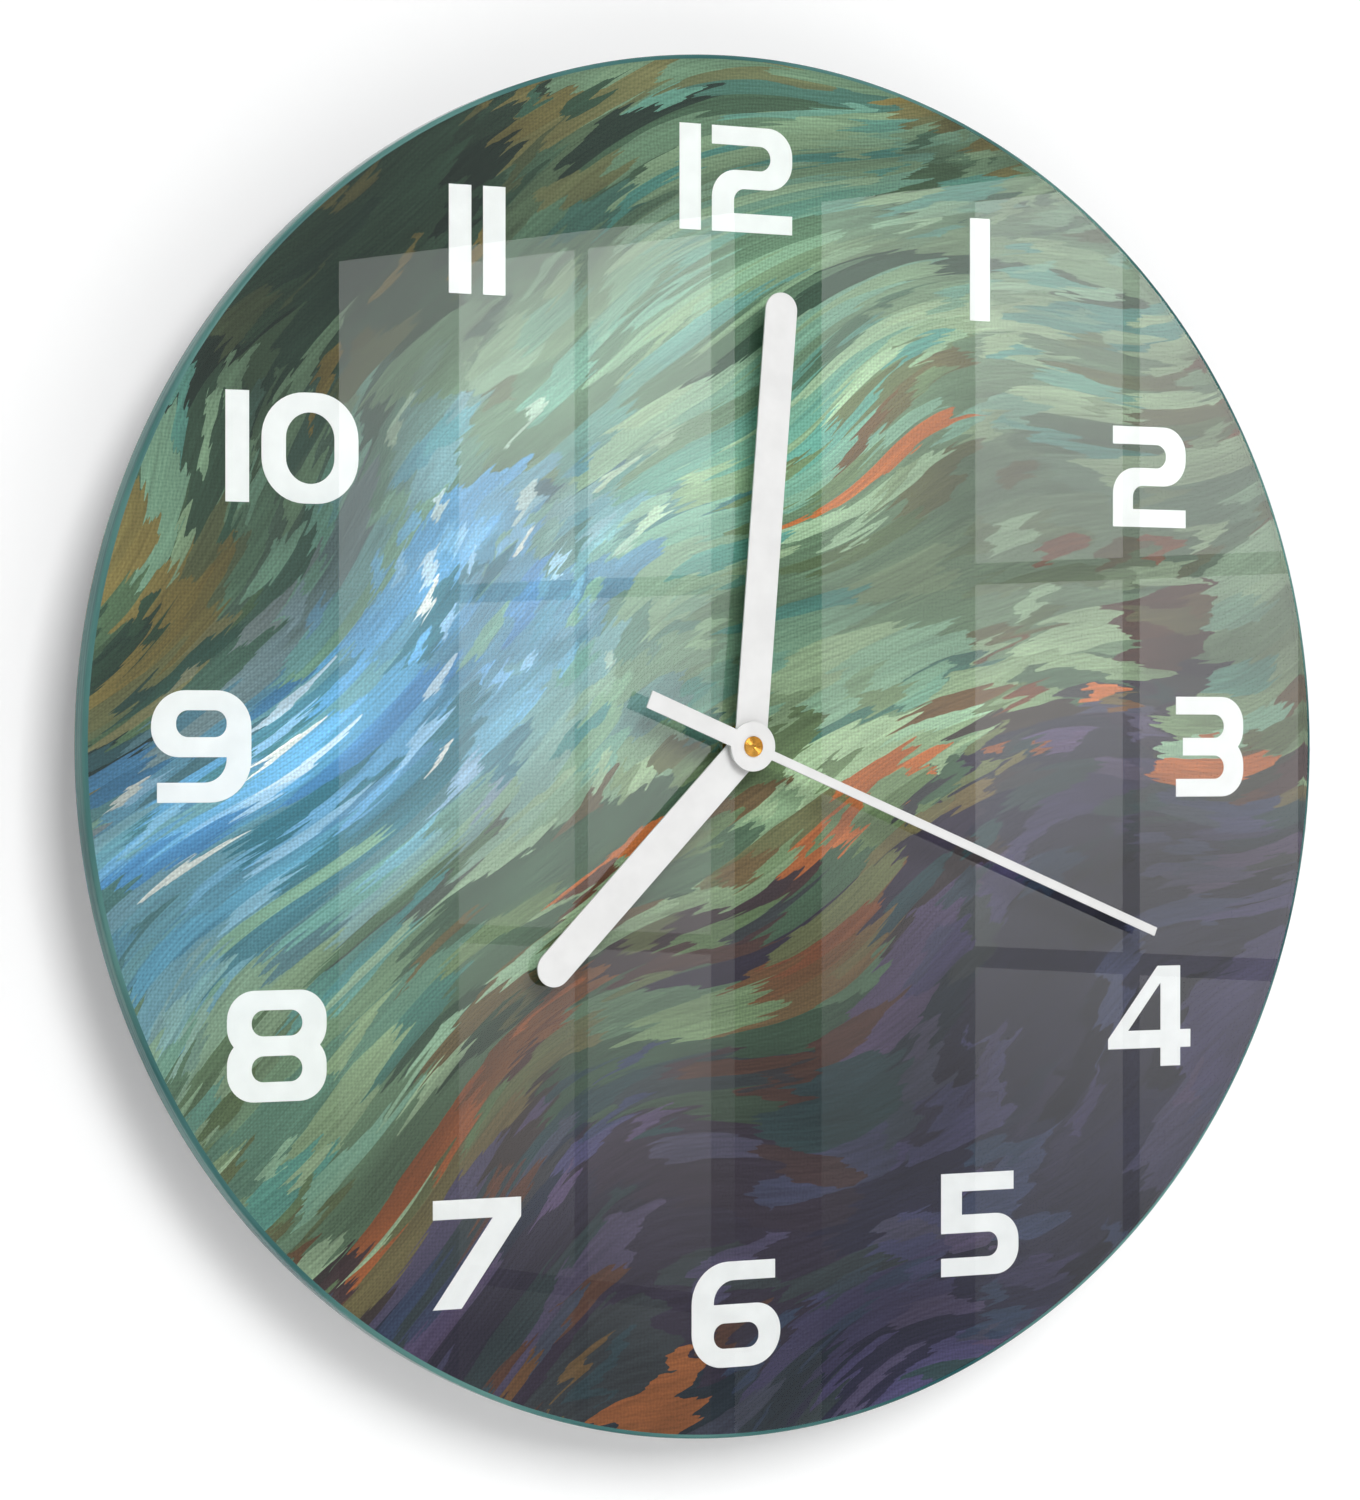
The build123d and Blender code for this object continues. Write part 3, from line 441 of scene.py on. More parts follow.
THREAD_WAVER = {"Distortion": 5.0, "Detail": 2.0, "Detail Scale": 1.2}
GROUND: Stops = (
    (0.02, "#1F1F2E"), (0.10, "#2A2940"), (0.17, "#23303A"), (0.24, "#322A3C"), (0.30, "#3A3230"),
    (0.36, "#38503F"), (0.43, "#5C785E"), (0.50, "#7F9A79"), (0.57, "#3F6E66"), (0.64, "#6F8E6E"),
    (0.71, "#2F4C3F"), (0.78, "#577355"), (0.86, "#24392F"), (0.97, "#1D2C25"),
)
LIGHTS: Stops = (
    (0.02, "#2B2A3D"), (0.07, "#4A4468"), (0.12, "#2F3F55"), (0.17, "#544663"), (0.22, "#2A4347"),
    (0.27, "#3E3036"), (0.30, "#5A3B2C"), (0.32, "#C9713A"), (0.34, "#6B4A30"), (0.41, "#5E7450"),
    (0.49, "#A3BC98"), (0.57, "#57958A"), (0.65, "#93AF8B"), (0.73, "#3C6452"), (0.81, "#8A7A45"),
    (0.87, "#35523F"), (0.97, "#2A4438"),
)
SKY: Stops = ((0.1, "#3F7F92"), (0.35, "#6FB3E0"), (0.6, "#4F8FC4"), (0.9, "#7FB0A0"))
SPARK: Stops = ((0.3, "#6FB3E0"), (0.7, "#A5D0EE"), (0.9, "#F0F1EC"))
BRUSHES = (
    Brush(90.0, 26.0, 3.1, 0.0, 1.0, GROUND, SKY),
    Brush(56.0, 12.0, 11.7, 9.0, 0.75, GROUND, SKY),
    Brush(34.0, 7.0, 23.3, -7.0, 0.5, LIGHTS, SKY),
    Brush(20.0, 4.2, 41.9, 5.0, 0.3, LIGHTS, SKY),
    Brush(11.0, 2.8, 57.3, -14.0, 0.16, LIGHTS, SPARK),
)


class Lay(Enum):
    """Direction of the marks that working leaves on a surface."""

    ALONG_X = (0.03, 1.0, 1.0)
    ALONG_Z = (1.0, 1.0, 0.03)
    EVERY_WAY = (1.0, 1.0, 1.0)


@dataclass(frozen=True)
class FlatCoat(Finish):
    """Ink, lacquer, rubber or moulded plastic: one colour with a fine mottle and grain."""

    dark: str
    light: str
    roughness: float
    grain_mm: float
    relief_mm: float = 0.02
    lay: Lay = Lay.EVERY_WAY
    cloud_mm: float = 6.0
    cloud_span: Pair = (0.32, 0.68)
    cloud_detail: float = 4.0
    bevel_mm: float = 0.15
    gloss_sway: float = 0.07
    strength: float = 0.6
    metallic: float = 0.0

    def draw(self) -> None:
        """Clouded colour with grain in its gloss and height, and edges that catch the light."""
        cloud = self.noise(self.place, per_metre(self.cloud_mm), self.cloud_detail)
        marks = self.mapped(self.place, Scale=self.lay.value)
        grain = self.noise(marks, per_metre(self.grain_mm), 3.0)
        gloss = (self.roughness - self.gloss_sway, self.roughness + self.gloss_sway)
        edge = self.add("Bevel", {"Radius": self.bevel_mm * MM}, samples=4)[0]
        coat = {
            "Base Color": self.ramp(cloud, zip(self.cloud_span, (self.dark, self.light))),
            "Metallic": self.metallic,
            "Roughness": self.remap(grain, GRAIN_SPAN, gloss),
            "Normal": self.bump(grain, (self.strength, self.relief_mm), Normal=edge),
        }
        self.show(self.add("BsdfPrincipled", coat)[0])


@dataclass(frozen=True)
class WorkedMetal(FlatCoat):
    """Bare or plated metal with fine working marks that streak its gloss."""

    cloud_mm: float = 8.0
    cloud_span: Pair = (0.3, 0.7)
    cloud_detail: float = 3.0
    bevel_mm: float = 0.12
    gloss_sway: float = 0.09
    strength: float = 0.25
    metallic: float = 1.0


@dataclass(frozen=True)
class CellSleeve(Finish):
    """Printed sleeve of a round cell: glossy dark green, a pale ring and a light green end."""

    body: str = "#1D3B27"
    ring: str = "#C4C8BC"
    plus: str = "#6B8A3F"
    half_length_mm: float = 25.0
    ring_start: float = 0.76
    ring_end: float = 0.79
    wrinkle_mm: float = 2.5
    wrinkle_painted_shade: Pair = (0.85, 1.15)
    wrinkle_relief: Pair = (0.3, 0.03)
    roughness: float = 0.28

    def draw(self) -> None:
        """Bands of colour along the cell under a clear gloss with a little wrinkle, whose hollows
        carry painted shade and whose crests carry a painted highlight.
        """
        half = self.half_length_mm * MM
        share = self.remap(self.coordinate(self.place, "X"), (-half, half), UNIT)
        stops = ((0.0, self.body), (self.ring_start, self.ring), (self.ring_end, self.plus))
        bands = self.ramp(share, stops, "CONSTANT")
        wrinkle = self.noise(self.place, per_metre(self.wrinkle_mm), 3.0)
        # Painted shade and painted highlight: the wrinkle's height also scales the colour, darker
        # in its hollows and lighter on its crests.
        colour = self.vector("MULTIPLY", bands, self.remap(wrinkle, UNIT, self.wrinkle_painted_shade))
        bump = self.bump(wrinkle, self.wrinkle_relief)
        sleeve = {"Base Color": colour, "Normal": bump, "Roughness": self.roughness}
        self.show(self.add("BsdfPrincipled", sleeve)[0])


class Slot(Enum):
    """Material slots of the clock's record, each with its finish."""

    CLEAR_GLASS = FloatGlass("float_glass")
    PRINTED_PICTURE = PrintedPicture("printed_film")
    WHITE_INK = FlatCoat("screen_ink_white", "#EFEFEF", "#F6F6F6", 0.55, 0.25, 0.01)
    BLACK_RUBBER = FlatCoat("moulded_rubber_black", "#161616", "#222221", 0.75, 0.2, 0.03)
    BRASS = WorkedMetal("turned_brass", "#AD7429", "#D9A24C", 0.2, 0.15, bevel_mm=0.02)
    WHITE_PLASTIC = FlatCoat("moulded_acetal_white", "#DEDCD3", "#E8E6DF", 0.42, 0.3, 0.01)
    WHITE_PAINT = FlatCoat("white_lacquer_on_aluminium", "#E4E4E3", "#EBEBEA", 0.5, 0.3, 0.008)
    SPRING_STEEL = WorkedMetal(
        "drawn_spring_steel", "#A6A7AA", "#C2C3C6", 0.3, 0.2, lay=Lay.ALONG_X
    )
    BLACK_PLASTIC = FlatCoat("moulded_abs_black", "#191A1B", "#232425", 0.52, 0.35, 0.03)
    DARK_MAGNET = FlatCoat("sintered_magnet", "#2B2B2D", "#3A3A3C", 0.6, 0.15, 0.02)
    SOFT_IRON = WorkedMetal(
        "stamped_soft_iron", "#8B8C8E", "#A3A4A5", 0.42, 0.25, lay=Lay.ALONG_X
    )
    ENAMELLED_COPPER = WorkedMetal(
        "enamelled_copper_wire", "#8A3C18", "#B65A28", 0.35, 0.1, lay=Lay.ALONG_Z
    )
    BOARD_LAMINATE = FlatCoat("brown_board_laminate", "#7A5A2E", "#8C6A38", 0.5, 0.4, 0.01)
    CELL_JACKET = CellSleeve("printed_cell_sleeve")
    ZINC_STEEL = WorkedMetal(
        "zinc_plated_steel", "#A9ACAD", "#C6C9C8", 0.36, 0.4, lay=Lay.ALONG_X, cloud_mm=5.0
    )


def dress(slot: Slot, *nodes: str) -> None:
    """Give carried-over solids their finish.

    Args:
        slot: Material slot whose finish they take.
        nodes: Names of the solids.
    """
    finish = slot.value
    for node in nodes:
        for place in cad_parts[node].material_slots:
            place.material = finish.drawn
        LOG.info("dressed %s as %s", node, finish.name)


# Surfaces


def add_object(name: str, data: bpy.types.ID) -> bpy.types.Object:
    """New object at the origin, linked to the scene.

    Args:
        name: Name of the object.
        data: Its mesh, light or camera.

    Returns:
        The object.
    """
    thing = bpy.data.objects.new(name, data)
    bpy.context.scene.collection.objects.link(thing)
    return thing


def table(*parts: np.ndarray | float) -> np.ndarray:
    """Rows of coordinates from their columns; a plain number fills its column."""
    return np.stack(np.broadcast_arrays(*parts), axis=1)


def round_angles(steps: int) -> np.ndarray:
    """Angles of so many even steps round a circle."""
    return np.linspace(0, FULL_TURN, steps, endpoint=False)


def turned(
    profile: np.ndarray, centre: Triple, axis: Triple, steps: int, relief: np.ndarray | float = 0.0
) -> np.ndarray:
    """Surface of revolution: each profile point's radius is swept round the axis at its height.

    Args:
        profile: Radius and height of each point, in millimetres.
        centre: Point on the axis at height 0, in metres.
        axis: Unit vector along the axis.
        steps: Points round the axis.
        relief: Height added to each point of each row, in millimetres.

    Returns:
        One grid, with a row for each profile point.
    """
    ahead = Vector(axis)
    side = ahead.orthogonal().normalized()
    other = ahead.cross(side)
    angle = round_angles(steps)
    spoke = np.cos(angle)[:, None] * np.array(side) + np.sin(angle)[:, None] * np.array(other)
    radius, height = (profile * MM).T
    rise = height[:, None] + relief * MM + np.zeros(steps)
    grid = radius[:, None, None] * spoke[None] + rise[..., None] * np.array(ahead)
    return (grid + np.array(centre))[None]


def ribbon(
    middle: np.ndarray, wide: np.ndarray, thick: np.ndarray, square: float, columns: int
) -> np.ndarray:
    """Bar along a path, closed at both ends.

    Each section is a superellipse: cosine and sine of the angle round it, each raised to the power
    `square` with its sign kept, times the half width and the half thickness.

    Args:
        middle: Points of the path, in millimetres.
        wide: Half width at each point.
        thick: Half thickness at each point.
        square: Power of the section: 1 for a round wire, towards 0 for a flat strip.
        columns: Points round the section.

    Returns:
        One grid, with a row for each point of the path and one for each end.
    """
    angle = round_angles(columns)
    waves = np.cos(angle), np.sin(angle)
    lean, rise = ((np.sign(wave) * np.abs(wave) ** square)[None, :, None] for wave in waves)
    rows = middle[:, None] + lean * wide[:, None] + rise * thick[:, None]
    ends = np.broadcast_to(middle[[0, -1], None], (2, columns, 3))
    return np.concatenate([ends[:1], rows, ends[1:]])[None] * MM


def arc(centre: Pair, radius: float, start: float, end: float, count: int) -> np.ndarray:
    """Points of a circular arc, from one direction in degrees to another."""
    turn = np.radians(np.linspace(start, end, count))
    return table(centre[0] + radius * np.cos(turn), centre[1] + radius * np.sin(turn))


def settle(
    name: str,
    points: np.ndarray,
    body: Body,
    slot: Slot,
    *nodes: str,
    finishes: list[Finish] | None = None,
    closed: bool = False,
    patch: np.ndarray | None = None,
) -> None:
    """Lay a new piece over grids of points and hang it on its body.

    In each grid, point (i, j) joins (i + 1, j), (i + 1, j + 1) and (i, j + 1) as one face. The last
    point of each row joins its first, and a row drawn together to one point closes as a pole.

    Args:
        name: Name of the piece.
        points: Grids, rows, points of a row and their three coordinates, in metres.
        body: Body that it moves with.
        slot: Material slot that it takes its finish from.
        nodes: Solids that it stands in place of.
        finishes: Its finishes, where they are more than the slot's own.
        closed: True where the last row also joins the first.
        patch: Number of the finish of each band between two rows.
    """
    grids, rows, columns, _ = points.shape
    index = np.arange(rows * columns).reshape(rows, columns)
    index = np.hstack([index, index[:, :1]])
    if closed:
        index = np.vstack([index, index[:1]])
    corners = [index[:-1, :-1], index[1:, :-1], index[1:, 1:], index[:-1, 1:]]
    quads = np.stack(corners, axis=-1).reshape(-1, 4)
    faces = (quads[None] + (np.arange(grids) * rows * columns)[:, None, None]).reshape(-1, 4)
    mesh = bpy.data.meshes.new(name)
    mesh.from_pydata(points.reshape(-1, 3).tolist(), [], faces.tolist())
    for finish in finishes or [slot.value]:
        mesh.materials.append(finish.drawn)
    if patch is not None:
        bands = np.tile(np.repeat(patch, columns), grids)
        mesh.polygons.foreach_set("material_index", bands.tolist())
    shape = bmesh.new()
    shape.from_mesh(mesh)
    bmesh.ops.remove_doubles(shape, verts=shape.verts, dist=MERGE_GAP)
    bmesh.ops.recalc_face_normals(shape, faces=shape.faces)
    shape.to_mesh(mesh)
    shape.free()
    mesh.polygons.foreach_set("use_smooth", [True] * len(mesh.polygons))
    mesh.set_sharp_from_angle(angle=math.radians(SHARP_TURN))
    piece = add_object(name, mesh)
    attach(piece, body.value)
    if nodes:
        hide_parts(*nodes)
    LOG.info("built %s: %d faces", name, len(mesh.polygons))


# Sub-assemblies


@dataclass
class Dial:
    """Glass disc with the print and the numerals bonded behind it."""

    rim_radius: float = 149.95
    bore_radius: float = 4.25
    thickness: float = 5.0
    front_arris: float = 1.0
    back_arris: float = 0.1
    arris_points: Counts = (11, 7)
    bond: float = 0.2
    face_rings: Triple = (20.0, 60.0, 110.0)
    guard_gaps: Pair = (1.0, 0.04)
    film_radius: float = 149.93
    film_thickness: float = 0.25
    film_rings: Triple = (40.0, 80.0, 120.0)
    steps: int = 480

    def build(self) -> None:
        """Make the glass and the print, and dress the numerals and the clamping pieces."""
        self.glass()
        self.film()
        dress(Slot.WHITE_INK, "hour_numerals")
        dress(Slot.BLACK_RUBBER, "dial_gasket")
        dress(Slot.BRASS, "threaded_bush", "ring_nut")
        dress(Slot.WHITE_PLASTIC, "front_washer")

    def glass(self) -> None:
        """Disc with flat faces and a straight rim between two rounded edges.

        Its back lies inside the film, so that no air gap shows behind it.
        """
        low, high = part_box("glass_dial")
        centre = (0.0, high.y, (low.z + high.z) / 2)
        front, back = self.thickness, -self.bond
        broad, fine = self.front_arris, self.back_arris
        many, few = self.arris_points
        guards = [self.rim_radius - broad - gap for gap in self.guard_gaps]
        face = np.array([self.bore_radius, *self.face_rings, *guards])
        front_edge = arc((self.rim_radius - broad, front - broad), broad, 90, 0, many)
        back_edge = arc((self.rim_radius - fine, back + fine), fine, 0, -90, few)
        points = np.vstack([table(face, front), front_edge, back_edge, table(face[::-1], back)])
        patch = np.zeros(len(points), dtype=int)
        patch[len(face):len(points) - len(face) - 1] = 1
        finishes = [Slot.CLEAR_GLASS.value, PolishedEdge("polished_glass_edge")]
        disc = turned(points, centre, TO_FRONT, self.steps)
        look = {"finishes": finishes, "closed": True, "patch": patch}
        settle("glass_disc", disc, Body.DIAL, Slot.CLEAR_GLASS, "glass_dial", **look)

    def film(self) -> None:
        """Printed sheet behind the glass: a thin flat ring that reaches nearly to the rim."""
        low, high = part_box("printed_film")
        centre = (0.0, high.y, (low.z + high.z) / 2)
        radii = np.array([self.bore_radius, *self.film_rings, self.film_radius])
        points = np.vstack([table(radii, self.film_thickness), table(radii[::-1], 0.0)])
        sheet = turned(points, centre, TO_FRONT, self.steps)
        settle("print_sheet", sheet, Body.DIAL, Slot.PRINTED_PICTURE, "printed_film", closed=True)


@dataclass
class Hands:
    """Three white hands and the brass boss that holds the seconds hand."""

    cap_radius: float = 2.25
    cap_height: float = 0.4
    cap_edge: float = 0.15
    edge_points: int = 6
    neck_radius: float = 1.3
    bore_radius: float = 0.62
    stem: float = 0.6
    bore_depth: float = 0.8
    dimple_radius: float = 0.5
    dimple_floor: float = 0.6
    dimple_depth: float = 0.14
    lip: float = 0.02
    groove_gaps: Pair = (0.1, 0.05)
    groove_pitch: float = 0.15
    groove_points: int = 8
    groove_slope: float = 20.0
    steps: int = 96

    def build(self) -> None:
        """Dress the hands and turn the boss."""
        dress(Slot.WHITE_PAINT, "hour_hand", "minute_hand", "seconds_hand")
        self.boss()

    def boss(self) -> None:
        """Turned boss: a cap with a centre dimple and a rounded edge, on a neck with a blind hole.

        The cap's face carries turned grooves, drawn coarser than real: its height is a sine of the
        radius whose steepest slope is groove_slope degrees.
        """
        low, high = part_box("seconds_boss")
        centre = ((low.x + high.x) / 2, low.y + self.cap_height * MM, (low.z + high.z) / 2)
        top, edge = self.cap_height, self.cap_edge
        start = self.dimple_radius + self.groove_gaps[0]
        end = self.cap_radius - edge - self.groove_gaps[1]
        radius = np.arange(start, end, self.groove_pitch / self.groove_points)
        phase = FULL_TURN * radius / self.groove_pitch
        depth = math.tan(math.radians(self.groove_slope)) * self.groove_pitch / FULL_TURN
        floor = top - self.dimple_depth
        hole = self.bore_depth - self.stem
        points = np.vstack(
            [
                [(0.0, floor), (self.dimple_radius * self.dimple_floor, floor)],
                [(self.dimple_radius, top - self.lip)],
                table(radius, top - depth * (1 + np.sin(phase))),
                arc((self.cap_radius - edge, top - edge - self.lip), edge, 90, 0, self.edge_points),
                [(self.cap_radius, 0.0), (self.neck_radius, 0.0), (self.neck_radius, -self.stem)],
                [(self.bore_radius, -self.stem), (self.bore_radius, hole), (0.0, hole)],
            ]
        )
        boss = turned(points, centre, TO_FRONT, self.steps)
        settle("brass_boss", boss, Body.SECONDS, Slot.BRASS, "seconds_boss")


@dataclass
class Movement:
    """Quartz movement: case, train, motor and electronics."""

    def build(self) -> None:
        """Dress every solid of the movement."""
        dress(Slot.BLACK_PLASTIC, "movement_case", "back_cover", "setting_knob")
        dress(Slot.BLACK_PLASTIC, "middle_plate", "train_bridge", "chip_blob")
        dress(Slot.WHITE_PLASTIC, "hour_wheel", "cannon_pinion", "centre_wheel", "seconds_wheel")
        dress(Slot.WHITE_PLASTIC, "third_wheel", "intermediate_wheel", "minute_wheel")
        dress(Slot.WHITE_PLASTIC, "rotor_pinion", "coil_bobbin")
        dress(Slot.SPRING_STEEL, "clutch_spring", "seconds_arbor", "quartz_crystal")
        dress(Slot.SPRING_STEEL, "bridge_screws", "stator_screws")
        dress(Slot.DARK_MAGNET, "rotor_magnet")
        dress(Slot.SOFT_IRON, "stator_plate", "coil_core")
        dress(Slot.ENAMELLED_COPPER, "coil_winding")
        dress(Slot.BOARD_LAMINATE, "circuit_board")


@dataclass
class Power:
    """Round cell and its contacts."""

    cell_radius: float = 7.25
    can_edge: float = 0.5
    edge_points: int = 5
    foot_radius: float = 6.1
    sleeve_rings: Pair = (12.0, 36.0)
    washer_radii: Pair = (6.2, 3.6)
    washer_depth: float = 0.7
    cap_radii: Pair = (3.5, 3.2)
    cap_height: float = 0.2
    nub_radius: float = 2.75
    nub_length: float = 1.3
    nub_root: float = 0.15
    nub_edge: float = 0.4
    plate_width: float = 9.0
    plate_corner: float = 1.5
    neck_lead: float = 1.0
    neck_length: float = 1.6
    sheet: float = 0.4
    sheet_square: float = 0.2
    sheet_points: Counts = (60, 20)
    strip_width: float = 4.0
    tab_width: float = 3.0
    wire_radius: float = 0.25
    wire_points: Counts = (180, 14)
    coil_turns: float = 2.5
    coil_base: float = 3.75
    coil_tip: float = 2.5
    coil_reach: float = 0.9
    steps: int = 96

    def build(self) -> None:
        """Turn the cell, bend the spring contact and dress the other contact."""
        self.cell()
        self.spring_contact()
        dress(Slot.SPRING_STEEL, "positive_contact")

    def cell(self) -> None:
        """Sleeved can with rounded shoulders, a steel foot and a nub inside a dark washer."""
        low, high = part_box("battery")
        centre = (low.x, (low.y + high.y) / 2, (low.z + high.z) / 2)
        tip = (high.x - low.x) / MM
        end = tip - self.nub_length
        edge, nub, root = self.can_edge, self.nub_radius, self.nub_root
        shoulder = self.cell_radius - edge
        outer, inner = self.washer_radii
        foot, top = self.cap_radii
        sunk = end - self.washer_depth
        count = self.edge_points
        steel, sleeve, washer = range(3)
        parts = [
            (steel, [(0.0, 0.0), (self.foot_radius, 0.0)]),
            (steel, arc((self.foot_radius, edge), edge, -90, 0, count)),
            (sleeve, arc((shoulder, 2 * edge), edge, -90, 0, count)),
            (sleeve, [(self.cell_radius, ring) for ring in self.sleeve_rings]),
            (sleeve, arc((shoulder, end - 2 * edge), edge, 0, 90, count)),
            (sleeve, [(outer, end - edge)]),
            (washer, [(outer, sunk), (inner, sunk)]),
            (steel, [(foot, end - self.cap_height), (top, end)]),
            (steel, [(nub + root, end), (nub, end + root)]),
            (steel, arc((nub - self.nub_edge, tip - self.nub_edge), self.nub_edge, 0, 90, count)),
            (steel, [(0.0, tip)]),
        ]
        numbers = np.concatenate([np.full(len(points), number) for number, points in parts])
        profile = np.vstack([points for _, points in parts])
        finishes = [slot.value for slot in (Slot.SPRING_STEEL, Slot.CELL_JACKET, Slot.BLACK_RUBBER)]
        grid = turned(profile, centre, RIGHT, self.steps)
        look = {"finishes": finishes, "patch": numbers[1:]}
        settle("round_cell", grid, Body.BATTERY, Slot.CELL_JACKET, "battery", **look)

    def spring_contact(self) -> None:
        """Sheet contact with a tab, and the cone of wire that presses on the cell's foot."""
        low, high = (np.array(corner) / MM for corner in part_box("negative_contact"))
        foot, outer = low[2], low[0]
        half, bend = self.sheet / 2, self.plate_corner
        rows, columns = self.sheet_points
        height = np.linspace(0.0, high[2] - foot, rows)
        # The back edge rounds its lower corner, then narrows from the plate to the strip in an S.
        corner = bend - np.sqrt(np.maximum(bend ** 2 - np.maximum(bend - height, 0) ** 2, 0))
        narrow = np.clip((height - self.plate_width + self.neck_lead) / self.neck_length, 0, 1)
        narrow = narrow * narrow * (3 - 2 * narrow)
        back = high[1] - corner - narrow * (high[1] - low[1] - self.strip_width)
        front = low[1] + corner
        zero = np.zeros_like(height)
        middle = table(outer + half, (front + back) / 2, foot + height)
        wide = table(0.0, (back - front) / 2, 0.0)
        plate = ribbon(middle, wide, table(half, zero, 0.0), self.sheet_square, columns)
        along = np.linspace(outer, high[0], rows)
        middle = table(along, low[1] + half, high[2] - self.tab_width / 2)
        wide = table(zero, 0.0, self.tab_width / 2)
        tab = ribbon(middle, wide, table(zero, half, 0.0), self.sheet_square, columns)
        sheet = np.concatenate([plate, tab])
        settle("spring_contact", sheet, Body.DIAL, Slot.SPRING_STEEL, "negative_contact")
        self.coil(outer + self.sheet)

    def coil(self, start: float) -> None:
        """Cone of wire: its radius shrinks and its height grows evenly along the turns.

        Args:
            start: Where the coil leaves the contact plate, in millimetres along X.
        """
        low, high = (np.array(corner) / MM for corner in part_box("battery"))
        axis = (low + high) / 2
        rows, columns = self.wire_points
        share = np.linspace(0, 1, rows)
        angle = FULL_TURN * self.coil_turns * share
        radius = self.coil_base + (self.coil_tip - self.coil_base) * share
        rise = start + self.wire_radius + self.coil_reach * share
        spoke = table(0.0, np.cos(angle), np.sin(angle))
        middle = radius[:, None] * spoke + table(rise, axis[1], axis[2])
        thick = np.broadcast_to((self.wire_radius, 0.0, 0.0), middle.shape)
        wire = ribbon(middle, self.wire_radius * spoke, thick, 1.0, columns)
        settle("contact_coil", wire, Body.DIAL, Slot.SPRING_STEEL)


@dataclass
class Hanging:
    """Hanger plate with its screws, and the pads that rest on the wall."""

    head_radius: float = 2.2
    head_height: float = 0.8
    head_skirt: float = 0.35
    dome_drop: float = 0.45
    fine_rows: Rows = (0.0, 1.45, 30)
    wide_rows: Rows = (1.55, 2.05, 6)
    shank_radius: float = 1.1
    point_length: float = 1.2
    point_radius: float = 0.25
    recess_depth: float = 0.5
    recess_reach: float = 1.25
    recess_half_width: float = 0.28
    recess_slopes: Pair = (0.2, 0.12)
    pad_radius: float = 8.0
    pad_edge: float = 1.0
    edge_points: int = 6
    pad_chamfer: float = 0.35
    pad_ring_radius: float = 105.0
    pad_angles: tuple[float, ...] = (45.0, 135.0, 225.0, 315.0)
    dish_radii: Pair = (5.0, 5.6)
    dish_depth: float = 0.5
    groove_depth: float = 0.18
    groove_halves: Pair = (0.25, 0.1)
    steps: int = 96

    def build(self) -> None:
        """Dress the hanger, make the screws and mould the pads."""
        dress(Slot.ZINC_STEEL, "hanger_plate")
        self.screws()
        self.pads()

    def screws(self) -> None:
        """Pan head screws: a dome of the fourth power less a cross recess with sloped walls."""
        low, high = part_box("cover_screws")
        plate = high.y / MM - self.head_height
        tail = low.y / MM - plate
        head, shank = self.head_radius, self.shank_radius
        radius = np.concatenate([np.linspace(*self.fine_rows), np.linspace(*self.wide_rows)])
        dome = self.head_height * (1 - self.dome_drop * (radius / head) ** 4)
        side = [(head, self.head_skirt), (head, 0.0), (shank, 0.0)]
        end = [(shank, tail + self.point_length), (self.point_radius, tail), (0.0, tail)]
        profile = np.vstack([table(radius, dome), side, end])
        angle = round_angles(self.steps)
        run = np.abs(radius[:, None] * np.cos(angle))
        rise = np.abs(radius[:, None] * np.sin(angle))
        end_slope, side_slope = self.recess_slopes
        arms = [
            np.clip((self.recess_reach - along) / end_slope, 0, 1)
            * np.clip((self.recess_half_width - across) / side_slope, 0, 1)
            for along, across in ((run, rise), (rise, run))
        ]
        relief = np.zeros((len(profile), self.steps))
        relief[:len(radius)] = -self.recess_depth * np.maximum(*arms)
        middle = (low.z + high.z) / 2
        both = [
            turned(profile, (x, plate * MM, middle), TO_WALL, self.steps, relief)
            for x in (low.x + head * MM, high.x - head * MM)
        ]
        settle("pan_screws", np.concatenate(both), Body.DIAL, Slot.SPRING_STEEL, "cover_screws")

    def pads(self) -> None:
        """Four moulded pads: a rounded, dished foot and a parting groove round the middle."""
        low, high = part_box("wall_spacers")
        centre = (0.0, low.y, (low.z + high.z) / 2)
        height = (high.y - low.y) / MM
        edge, bend, chamfer = self.pad_radius, self.pad_edge, self.pad_chamfer
        inner, outer = self.dish_radii
        dish = height - self.dish_depth
        mouth, floor = self.groove_halves
        root = edge - self.groove_depth
        profile = np.vstack(
            [
                [(0.0, dish), (inner, dish), (outer, height)],
                arc((edge - bend, height - bend), bend, 90, 0, self.edge_points),
                [(edge, height / 2 + mouth), (root, height / 2 + floor)],
                [(root, height / 2 - floor), (edge, height / 2 - mouth)],
                [(edge, chamfer), (edge - chamfer, 0.0), (0.0, 0.0)],
            ]
        )
        turn = np.radians(self.pad_angles)
        spots = self.pad_ring_radius * MM * table(np.cos(turn), 0.0, np.sin(turn))
        pads = turned(profile, centre, TO_WALL, self.steps) + spots[:, None, None]
        settle("rubber_pads", pads, Body.DIAL, Slot.BLACK_RUBBER, "wall_spacers")


# Studio


